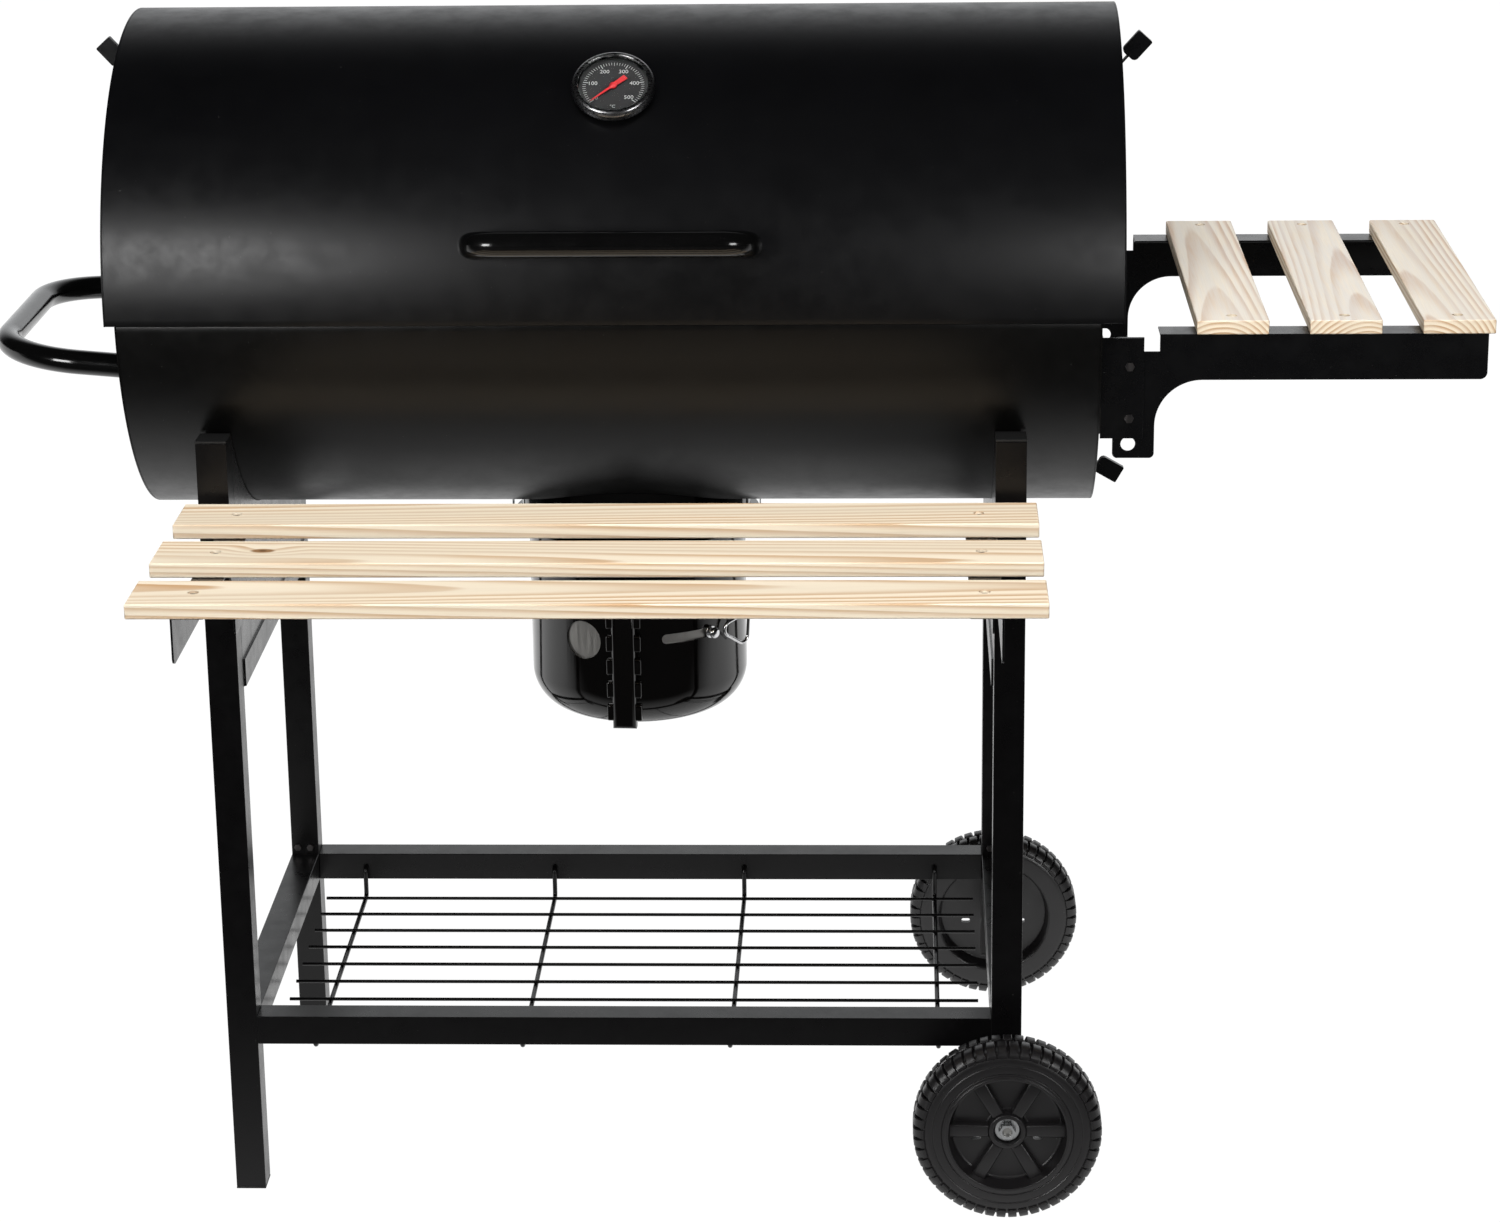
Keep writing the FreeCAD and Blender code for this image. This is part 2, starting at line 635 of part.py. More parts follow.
legs = {"front_left": (-1, -1), "front_right": (1, -1), "rear_left": (-1, 1), "rear_right": (1, 1)}
caps = []
for name, (sx, sy) in legs.items():
    bottom = right_leg_bottom if sx > 0 else cap_head
    x0, x1 = sorted((sx * leg_in, sx * leg_out))
    y0, y1 = sorted((sy * frame_in, sy * frame_out))
    tube = square_tube(x0, x1, y0, y1, bottom, leg_top, "z")
    cuts = [rod(3.1, at - y_axis * 6, y_axis, 12) for at in cradle_bolts if at.x * sx > 0 and at.y * sy > 0]
    if sy < 0:
        cuts += [rod(3.1, at - x_axis * 6, x_axis, 12) for at in arm_bolts if at.x * sx > 0]
    else:
        cuts += [rod(2.1, at - y_axis * 3, y_axis, 6) for at in rail_bolts if at.x * sx > 0]
    if sx > 0:
        cuts.append(rod(axle_radius + bore_clearance, Vector(leg_x, y0 - 1, wheel_radius), y_axis, leg + 2))
    pieces["leg_" + name] = cut_all(tube, cuts)
    inset = tube_wall + 0.1
    for head_z, plug_z in ((leg_top, leg_top - 12), (bottom - cap_head, bottom)):
        plug = box(x0 + inset, x1 - inset, y0 + inset, y1 - inset, plug_z, plug_z + 12)
        head = box(x0, x1, y0, y1, head_z, head_z + cap_head)
        caps.append(plug.fuse(head))
pieces["leg_caps"] = Part.makeCompound(caps)

rail_high = rail_low + leg
rail_mid = (rail_low + rail_high) / 2
for name, sy in (("front", -1), ("rear", 1)):
    y0, y1 = sorted((sy * frame_in, sy * frame_out))
    tube = square_tube(-leg_in, leg_in, y0, y1, rail_low, rail_high, "x")
    cuts = [rod(rack_wire + 0.4, Vector(x, sy * (frame_in - 5), rail_mid), y_axis * sy, 12)
            for x in hook_positions]
    pieces["rail_" + name] = cut_all(tube, cuts)
for name, sx in (("left", -1), ("right", 1)):
    x0, x1 = sorted((sx * leg_in, sx * leg_out))
    pieces["rail_" + name] = square_tube(x0, x1, -frame_in, frame_in, rail_low, rail_high, "y")

# Each cradle is a pressed plate between two legs, cut to the barrel's curve and flanged.
saddle = body_radius + saddle_clearance
half = frame_in - 0.1
web = box(leg_in, leg_in + plate, -half, half, cradle_low, leg_top)
hem = box(leg_in - plate, leg_in, -half + 3, half - 3, cradle_low, cradle_low + hem_height)
flanges = [box(leg_in, leg_in + 26, side * (half - plate), side * half, cradle_low, leg_top)
           for side in (-1, 1)]
solid = fused([web, hem] + flanges).cut(drum(saddle, -500, 500))
band = drum(saddle + plate, leg_in, leg_in + 26).cut(drum(saddle, -500, 500))
band = band.common(box(300, 450, -half, half, cradle_low, leg_top))
solid = solid.fuse(band).removeSplitter()
solid = cut_all(solid, [rod(3.1, at - y_axis * 6, y_axis, 12) for at in cradle_bolts])
pieces["cradle_right"] = solid
pieces["cradle_left"] = mirror_x(solid)

# ---- wire rack ----

hook_y = frame_in - 6
wires = []
for x in hook_positions:
    points = [Vector(x, frame_in + 6, rail_mid), Vector(x, hook_y, rail_mid), Vector(x, hook_y, rack_z),
              Vector(x, -hook_y, rack_z), Vector(x, -hook_y, rail_mid), Vector(x, -frame_in - 6, rail_mid)]
    wires.append(bent_rod(rack_wire, points, 5.5))
long_z = rack_z + rack_wire + rack_long_wire - 0.2
for i in range(-4, 5):
    start = Vector(-rack_long_half, i * rack_pitch, long_z)
    wires.append(rod(rack_long_wire, start, x_axis, 2 * rack_long_half))
pieces["wire_rack"] = fused(wires)

# ---- wheels and axle ----

def wheel():
    """Moulded wheel, turned about Y and drawn at the origin with its outer face to -Y."""
    w = wheel_half_width
    r = wheel_radius
    section = [(axle_radius + bore_clearance, 43), (13, 43), (13, 3), (60, 3), (60, w), (86, w),
               (92, w - 4), (r, w - 8), (r, 8 - w), (92, 4 - w), (86, -w), (60, -w), (60, -3), (20, -3),
               (20, -15), (14, -15), (14, -7), (axle_radius + bore_clearance, -7)]
    face = Part.Face(Part.makePolygon([Vector(a, b, 0) for a, b in section + section[:1]]))
    solid = face.revolve(Vector(0, 0, 0), y_axis, 360)
    ribs = []
    holes = []
    for i in range(6):
        rib = box(19, 61, -12, -2, -7, 7)
        rib.rotate(Vector(0, 0, 0), y_axis, 60 * i)
        ribs.append(rib)
        back_rib = box(12, 61, 2, 14, -3, 3)
        back_rib.rotate(Vector(0, 0, 0), y_axis, 60 * i)
        ribs.append(back_rib)
        hole = rod(3.5, Vector(32, -10, 0), y_axis, 20)
        hole.rotate(Vector(0, 0, 0), y_axis, 60 * i + 30)
        holes.append(hole)
    return cut_all(fused([solid] + ribs), holes)


base_wheel = wheel()
front = base_wheel.copy()
front.translate(Vector(leg_x, -wheel_y, wheel_radius))
pieces["wheel_front"] = front
pieces["wheel_rear"] = mirror_y(front)
pieces["axle"] = rod(axle_radius, Vector(leg_x, -wheel_y - 12, wheel_radius), y_axis, 2 * wheel_y + 24)
nuts = []
for side in (-1, 1):
    face_y = side * (wheel_y + 7.5)
    washer = rod(12, Vector(leg_x, face_y, wheel_radius), y_axis * side, 1.2)
    nut = hexagon(15, Vector(leg_x, face_y + side * 1.2, wheel_radius), y_axis * side, 6.5)
    bore = rod(axle_radius + 0.02, Vector(leg_x, face_y - side, wheel_radius), y_axis * side, 20)
    nuts.append(washer.fuse(nut).cut(bore))
pieces["axle_nuts"] = Part.makeCompound(nuts)

# ---- shelves ----

def bracket_outline(length):
    """Side view of a shelf bracket: u runs out along the arm from the tab, v is up from the arm's top."""
    notch = tab_width - 11
    return [((0, -3), 0), ((notch, -3), 0), ((notch, -17), 0), ((tab_width + 4, -17), 0),
            ((tab_width + 4, 0), 0), ((length, 0), 0), ((length, -arm_height), 7),
            ((tab_width, -arm_height), arm_sweep), ((tab_width, -tab_drop), 5), ((0, -tab_drop), 5)]


side_bracket_x = 482.0
side_arm_top = side_slat_top - slat_thickness
length = right_reach - 6 - side_bracket_x
points = [(Vector(side_bracket_x + u, -219.9, side_arm_top + v), r) for (u, v), r in bracket_outline(length)]
web = outline_plate(points, y_axis * -plate)
flange = box(side_bracket_x + tab_width + 4, side_bracket_x + length, -220.5, -220 + flange_width,
             side_arm_top - plate, side_arm_top)
cuts = [rod(7, Vector(side_bracket_x + 15, -230, side_arm_top - 108), y_axis, 20)]
cuts += [rod(2.6, at - y_axis * 9, y_axis, 18) for at in bracket_screws]
cuts += [rod(2.75, at - z_axis * 30, z_axis, 30) for at in side_screws]
bracket = cut_all(web.fuse(flange).removeSplitter(), cuts)
pieces["side_bracket_front"] = bracket
pieces["side_bracket_rear"] = mirror_y(bracket)

angle = fused([box(ends_x, ends_x + 41, -224, -222, side_arm_top - 102, side_arm_top - 3),
               box(ends_x, ends_x + plate, -223, -190, side_arm_top - 102, side_arm_top - 3)])
keep = drum(body_radius - 1, ends_x - 5, ends_x + plate)
keep = keep.fuse(box(ends_x + plate, ends_x + 60, -230, -180, 700, 900))
keep = keep.fuse(box(ends_x - 5, ends_x + 60, -230, -221.9, 700, 900))
angle = angle.common(keep)
angle = cut_all(angle, [rod(3.1, at - x_axis * 9, x_axis, 18) for at in angle_bolts]
                + [rod(2.6, at - y_axis * 9, y_axis, 18) for at in bracket_screws])
pieces["shelf_angles"] = Part.makeCompound([angle, mirror_y(angle)])

front_arm_top = front_slat_top - slat_thickness
arm_back = -frame_in - 1
length = front_reach - 6 + arm_back
points = [(Vector(leg_in - 0.1, arm_back - u, front_arm_top + v), r) for (u, v), r in bracket_outline(length)]
web = outline_plate(points, x_axis * -(plate - 0.1))
flange = box(leg_in - 1, leg_in - flange_width, arm_back - tab_width - 4, arm_back - length,
             front_arm_top - plate, front_arm_top)
cuts = [rod(3.1, at - x_axis * 6, x_axis, 12) for at in arm_bolts]
cuts += [rod(2.75, at - z_axis * 30, z_axis, 30) for at in front_screws]
arm = cut_all(web.fuse(flange).removeSplitter(), cuts)
pieces["shelf_arm_right"] = arm
pieces["shelf_arm_left"] = mirror_x(arm)


def slat(x0, x1, y0, y1, top, screws):
    board = box(x0, x1, y0, y1, top - slat_thickness, top)
    board = board.makeChamfer(0.8, board.Edges)
    cuts = []
    for at in screws:
        cuts += [rod(5.2, at - z_axis * 5, z_axis, 10), rod(2.7, at - z_axis * 20, z_axis, 20)]
    return cut_all(board, cuts)


for i in range(3):
    back = front_slat_near - i * front_slat_pitch
    pieces["front_slat_%d" % (i + 1)] = slat(-front_slat_half, front_slat_half, back - front_slat_width, back,
                                             front_slat_top, front_screws)
    low = side_slat_start + i * side_slat_pitch
    pieces["side_slat_%d" % (i + 1)] = slat(low, low + side_slat_width, -side_slat_half, side_slat_half,
                                            side_slat_top, side_screws)

# ---- carrying handle ----

outer_x = -ends_x - side_handle_reach
outer_z = side_handle_z + side_handle_rise
root_x = -ends_x + 5
root_z = side_handle_z - 5 * side_handle_rise / side_handle_reach
points = [Vector(root_x, -side_handle_half, root_z),
          Vector(outer_x, -side_handle_half, outer_z),
          Vector(outer_x, side_handle_half, outer_z),
          Vector(root_x, side_handle_half, root_z)]
handle = bent_rod(side_handle_tube, points, side_handle_bend, wall=6.5)
pieces["side_handle"] = handle.common(box(outer_x - 50, -ends_x, -300, 300, 700, 1000))

# ---- fasteners ----

gauge_nut = hexagon(20, Vector(0, 0, -9), z_axis, 6).cut(Part.makeCylinder(6.05, 12, Vector(0, 0, -12)))
lid_set = [rivet(at, y_axis * -1, length=5) for at in lid_rivets]
for at in lid_handle_bolts:
    seat = at + Vector(0, 0, axis_z) + out * (lid_radius - sheet - 0.5)
    lid_set.append(bolt(seat, out, 13, 5, 4, 22))
lid_set.append(on_gauge(gauge_nut))
for side in (-1, 1):
    lid_set.append(damper_rivet(lid_high_x if side > 0 else lid_low_x, side, lid_disc_z))
pieces["lid_fasteners"] = Part.makeCompound(lid_set)

body_set = [rivet(at + y_axis * 1.35, y_axis * -1, length=8.5) for at in body_rivets]
body_set += [damper_rivet(side * ends_x, side, body_disc_z) for side in (-1, 1)]
body_set += [bolt(at, x_axis * -1, 13, 5, 4, 16) for at in handle_bolts]
pieces["body_fasteners"] = Part.makeCompound(body_set)

frame_set = [bolt(at, y_axis * (1 if at.y > 0 else -1)) for at in cradle_bolts]
frame_set += [bolt(at, x_axis * (1 if at.x > 0 else -1)) for at in arm_bolts]
frame_set += [bolt(at, y_axis, 7, 2.5, 2, 6) for at in rail_bolts]
frame_set += [bolt(at, x_axis * -1, 10, 4, 3, 9) for at in angle_bolts]
frame_set += [bolt(at, y_axis * (-1 if at.y > 0 else 1), 8, 2.5, 2.5, 9) for at in bracket_screws]
pieces["frame_bolts"] = Part.makeCompound(frame_set)


def shelf_screw(at):
    """Screw sunk in its slat, with a nut under the bracket's flange."""
    head = rod(4.8, at - z_axis * 5, z_axis, 2.6)
    socket = hexagon(4, at - z_axis * 4, z_axis, 4)
    under = at - z_axis * (slat_thickness + plate)
    shank = rod(2.5, under - z_axis * 7, z_axis, slat_thickness + plate + 4)
    nut = hexagon(8, under, z_axis * -1, 4.5)
    return fused([head.cut(socket), shank, nut])


pieces["shelf_screws"] = Part.makeCompound([shelf_screw(at) for at in front_screws + side_screws])


def save():
    os.makedirs("parts", exist_ok=True)
    for name, shape in pieces.items():
        placed = shape.copy()
        placed.translate(shift)
        placed.exportStep("parts/%s.step" % name)


save()
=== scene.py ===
import json
import math

import bmesh
import bpy
from mathutils import Matrix, Vector

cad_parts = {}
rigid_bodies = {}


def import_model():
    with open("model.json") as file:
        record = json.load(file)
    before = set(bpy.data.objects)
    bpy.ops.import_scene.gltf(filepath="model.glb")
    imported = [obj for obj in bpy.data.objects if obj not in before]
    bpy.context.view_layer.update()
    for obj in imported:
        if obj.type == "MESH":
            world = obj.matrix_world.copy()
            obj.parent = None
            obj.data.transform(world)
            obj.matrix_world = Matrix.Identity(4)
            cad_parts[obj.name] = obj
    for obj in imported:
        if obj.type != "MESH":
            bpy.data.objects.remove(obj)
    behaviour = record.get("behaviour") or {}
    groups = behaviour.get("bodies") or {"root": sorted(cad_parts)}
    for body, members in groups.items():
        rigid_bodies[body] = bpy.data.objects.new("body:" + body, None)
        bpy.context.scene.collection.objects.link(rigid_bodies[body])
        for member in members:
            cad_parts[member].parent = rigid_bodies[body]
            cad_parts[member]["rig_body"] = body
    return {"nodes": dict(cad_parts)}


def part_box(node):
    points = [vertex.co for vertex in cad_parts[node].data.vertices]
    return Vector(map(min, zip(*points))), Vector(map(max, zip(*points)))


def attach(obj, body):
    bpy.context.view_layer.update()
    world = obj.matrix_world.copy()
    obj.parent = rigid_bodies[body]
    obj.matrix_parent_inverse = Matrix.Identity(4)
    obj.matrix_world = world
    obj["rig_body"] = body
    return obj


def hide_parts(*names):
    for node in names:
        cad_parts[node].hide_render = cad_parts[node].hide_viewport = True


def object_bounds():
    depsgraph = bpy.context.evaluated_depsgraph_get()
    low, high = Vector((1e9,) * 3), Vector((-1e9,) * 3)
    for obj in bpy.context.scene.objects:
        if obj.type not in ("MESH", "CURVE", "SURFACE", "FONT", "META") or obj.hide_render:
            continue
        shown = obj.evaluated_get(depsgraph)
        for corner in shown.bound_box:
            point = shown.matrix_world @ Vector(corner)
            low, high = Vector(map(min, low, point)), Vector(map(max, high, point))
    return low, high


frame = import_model()
nodes = frame["nodes"]
cadLow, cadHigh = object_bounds()
mm = 0.001
print("frame loaded,", len(nodes), "nodes")


# Placing and finishing.

def middle(node):
    low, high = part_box(node)
    return (low + high) / 2


def shadeByAngle(mesh, degrees):
    for face in mesh.polygons:
        face.use_smooth = True
    mesh.set_sharp_from_angle(angle=math.radians(degrees))


def addPiece(name, bm, material, body, standsFor=(), smooth=38):
    mesh = bpy.data.meshes.new(name)
    bm.to_mesh(mesh)
    bm.free()
    mesh.materials.append(material)
    shadeByAngle(mesh, smooth)
    piece = bpy.data.objects.new(name, mesh)
    bpy.context.scene.collection.objects.link(piece)
    if standsFor:
        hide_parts(*standsFor)
    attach(piece, body)
    return piece


def applyModifiers(piece, smooth=38):
    depsgraph = bpy.context.evaluated_depsgraph_get()
    made = bpy.data.meshes.new_from_object(piece.evaluated_get(depsgraph))
    piece.modifiers.clear()
    piece.data = made
    shadeByAngle(made, smooth)


def vertsOf(geometry):
    return [v for v in geometry if isinstance(v, bmesh.types.BMVert)]


def edgesOf(geometry):
    return [e for e in geometry if isinstance(e, bmesh.types.BMEdge)]


def absorb(bm, extra):
    # adds another bmesh's geometry to this one, and frees the other
    mesh = bpy.data.meshes.new("part")
    extra.to_mesh(mesh)
    extra.free()
    bm.from_mesh(mesh)


def cutWith(piece, cutter, smooth=38):
    # takes the cutter's shape out of a closed piece, then throws the cutter away
    mesh = bpy.data.meshes.new("cutter")
    cutter.to_mesh(mesh)
    cutter.free()
    tool = bpy.data.objects.new("cutter", mesh)
    bpy.context.scene.collection.objects.link(tool)
    cut = piece.modifiers.new("cut", "BOOLEAN")
    cut.operation = "DIFFERENCE"
    cut.solver = "EXACT"
    cut.object = tool
    bpy.context.view_layer.update()
    applyModifiers(piece, smooth)
    bpy.data.objects.remove(tool)


# Bmesh helpers.

def outline(bm, points, rounding=0.0, steps=4):
    # closed outline from a few corners, each rounded by the same amount; a corner may carry its own
    corners = [bm.verts.new(p[:3]) for p in points]
    face = bm.faces.new(corners)
    for vert, point in zip(corners, points):
        radius = point[3] if len(point) > 3 else rounding
        if radius > 0:
            bmesh.ops.bevel(bm, geom=[vert], offset=radius, offset_type="OFFSET", segments=steps,
                            profile=0.5, affect="VERTICES", clamp_overlap=True, material=-1)
    return face


def turned(points, centre, axis, steps, rounding=0.0):
    # closed section spun right round; points are (radius, height along the axis)
    axis = Vector(axis).normalized()
    side = axis.orthogonal().normalized()
    bm = bmesh.new()
    spots = []
    for p in points:
        spot = list(Vector(centre) + side * p[0] + axis * p[1])
        spots.append(spot + list(p[2:]))
    outline(bm, spots, rounding)
    bmesh.ops.delete(bm, geom=bm.faces[:], context="FACES_ONLY")
    bmesh.ops.spin(bm, geom=bm.verts[:] + bm.edges[:], cent=Vector(centre), axis=axis,
                   angle=math.tau, steps=steps, use_merge=True)
    bmesh.ops.remove_doubles(bm, verts=bm.verts[:], dist=2e-6)
    bmesh.ops.recalc_face_normals(bm, faces=bm.faces[:])
    return bm


def bentTube(points, radius, bend, sides=28, bendSteps=12, closed=False):
    # a ring pushed along each run and spun round each corner
    spots = [Vector(p) for p in points]
    count = len(spots)
    corners = range(count) if closed else range(1, count - 1)
    turns = {}
    for i in corners:
        here = spots[i]
        back = (spots[i - 1] - here).normalized()
        ahead = (spots[(i + 1) % count] - here).normalized()
        half = back.angle(ahead) / 2
        enter = here + back * (bend / math.tan(half))
        centre = here + (back + ahead).normalized() * (bend / math.sin(half))
        turns[i] = (enter, centre, back.cross(ahead).normalized(), math.pi - 2 * half)
    bm = bmesh.new()
    start = turns[0][0] if closed else spots[0]
    along = (start - spots[-1]).normalized() if closed else (spots[1] - spots[0]).normalized()
    place = Matrix.Translation(start) @ along.to_track_quat("Z", "Y").to_matrix().to_4x4()
    bmesh.ops.create_circle(bm, segments=sides, radius=radius, matrix=place)
    ring = bm.edges[:]
    at = start
    for i in corners:
        enter, centre, axis, angle = turns[i]
        if (enter - at).length > 1e-6:
            made = bmesh.ops.extrude_edge_only(bm, edges=ring)["geom"]
            bmesh.ops.translate(bm, vec=enter - at, verts=vertsOf(made))
            ring = edgesOf(made)
        last = bmesh.ops.spin(bm, geom=ring, cent=centre, axis=-axis, angle=angle,
                              steps=bendSteps)["geom_last"]
        ring = edgesOf(last)
        at = Matrix.Rotation(angle, 3, -axis) @ (enter - centre) + centre
    end = start if closed else spots[-1]
    made = bmesh.ops.extrude_edge_only(bm, edges=ring)["geom"]
    bmesh.ops.translate(bm, vec=end - at, verts=vertsOf(made))
    bmesh.ops.remove_doubles(bm, verts=bm.verts[:], dist=1e-5)
    if not closed:
        bmesh.ops.holes_fill(bm, edges=[e for e in bm.edges if e.is_boundary], sides=0)
    bmesh.ops.recalc_face_normals(bm, faces=bm.faces[:])
    return bm


def block(bm, low, high, edge=0.0, steps=2):
    # box between two corners with its edges eased
    low, high = Vector(low), Vector(high)
    size = high - low
    place = Matrix.Translation((low + high) / 2) @ Matrix.Diagonal((*size, 1))
    verts = bmesh.ops.create_cube(bm, size=1, matrix=place)["verts"]
    if edge > 0:
        edges = list({e for v in verts for e in v.link_edges})
        bmesh.ops.bevel(bm, geom=edges, offset=edge, offset_type="OFFSET", segments=steps, profile=0.5,
                        affect="EDGES", clamp_overlap=True, material=-1)


# Shader helpers.

def newMaterial(name):
    material = bpy.data.materials.new(name)
    material.use_nodes = True
    tree = material.node_tree
    tree.nodes.clear()
    output = tree.nodes.new("ShaderNodeOutputMaterial")
    shader = tree.nodes.new("ShaderNodeBsdfPrincipled")
    tree.links.new(shader.outputs["BSDF"], output.inputs["Surface"])
    return material, tree, shader


def addNode(tree, kind, inputs=None, **settings):
    node = tree.nodes.new(kind)
    for key, value in settings.items():
        setattr(node, key, value)
    for key, value in (inputs or {}).items():
        if isinstance(value, bpy.types.NodeSocket):
            tree.links.new(value, node.inputs[key])
        else:
            node.inputs[key].default_value = value
    return node


def calc(tree, operation, a, b=0.0, clamp=False):
    node = tree.nodes.new("ShaderNodeMath")
    node.operation = operation
    node.use_clamp = clamp
    for socket, value in zip(node.inputs, (a, b)):
        if isinstance(value, bpy.types.NodeSocket):
            tree.links.new(value, socket)
        else:
            socket.default_value = value
    return node.outputs[0]


def spread(tree, value, low, high, outLow=0.0, outHigh=1.0, smooth=True):
    node = addNode(tree, "ShaderNodeMapRange", {"Value": value, "From Min": low, "From Max": high,
                                                "To Min": outLow, "To Max": outHigh})
    node.interpolation_type = "SMOOTHSTEP" if smooth else "LINEAR"
    return node.outputs["Result"]


def blendColours(tree, factor, first, second):
    node = addNode(tree, "ShaderNodeMix", data_type="RGBA")
    for index, value in ((0, factor), (6, first), (7, second)):
        if isinstance(value, bpy.types.NodeSocket):
            tree.links.new(value, node.inputs[index])
        else:
            node.inputs[index].default_value = value if index == 0 else (*value[:3], 1)
    return node.outputs[2]


def newGroup(name, inputs, outputs):
    group = bpy.data.node_groups.new(name, "ShaderNodeTree")
    for label, kind, value in inputs:
        socket = group.interface.new_socket(name=label, in_out="INPUT", socket_type=kind)
        if value is not None:
            socket.default_value = value
    for label, kind in outputs:
        group.interface.new_socket(name=label, in_out="OUTPUT", socket_type=kind)
    return group, group.nodes.new("NodeGroupInput"), group.nodes.new("NodeGroupOutput")


def useGroup(tree, group, **inputs):
    node = tree.nodes.new("ShaderNodeGroup")
    node.node_tree = group
    for key, value in inputs.items():
        label = "".join(" " + c if c.isupper() else c for c in key).strip().capitalize()
        if isinstance(value, bpy.types.NodeSocket):
            tree.links.new(value, node.inputs[label])
        else:
            node.inputs[label].default_value = value
    return node


def objectPlace(tree):
    return tree.nodes.new("ShaderNodeTexCoord").outputs["Object"]


# Paint on steel: slow changes of tone, the fine pebble of powder coat, and a few grains of dust.
def makeCoatGroup():
    group, into, out = newGroup("coatSurface", [
        ("Tone", "NodeSocketColor", (0.01, 0.01, 0.01, 1)),
        ("Worn tone", "NodeSocketColor", (0.03, 0.03, 0.03, 1)),
        ("Roughness", "NodeSocketFloat", 0.4), ("Pebble size", "NodeSocketFloat", 900.0),
        ("Dust", "NodeSocketFloat", 0.5)],
        [("Color", "NodeSocketColor"), ("Roughness", "NodeSocketFloat"), ("Height", "NodeSocketFloat")])
    place = objectPlace(group)
    slow = addNode(group, "ShaderNodeTexNoise", {"Vector": place, "Scale": 6.0, "Detail": 3.0}).outputs["Fac"]
    smear = addNode(group, "ShaderNodeTexNoise", {"Vector": place, "Scale": 38.0, "Detail": 4.0,
                                                  "Roughness": 0.7}).outputs["Fac"]
    pebble = addNode(group, "ShaderNodeTexNoise", {"Vector": place, "Scale": into.outputs["Pebble size"],
                                                   "Detail": 2.0}).outputs["Fac"]
    grains = addNode(group, "ShaderNodeTexVoronoi", {"Vector": place, "Scale": 95.0}).outputs["Distance"]
    speck = calc(group, "MULTIPLY", spread(group, grains, 0.030, 0.018), into.outputs["Dust"])
    tone = blendColours(group, spread(group, slow, 0.35, 0.75, 0.0, 0.5), into.outputs["Tone"],
                        into.outputs["Worn tone"])
    tone = blendColours(group, speck, tone, (0.28, 0.28, 0.27))
    rough = calc(group, "ADD", into.outputs["Roughness"], spread(group, smear, 0.3, 0.75, -0.035, 0.05))
    group.links.new(tone, out.inputs["Color"])
    group.links.new(rough, out.inputs["Roughness"])
    group.links.new(pebble, out.inputs["Height"])
    return group


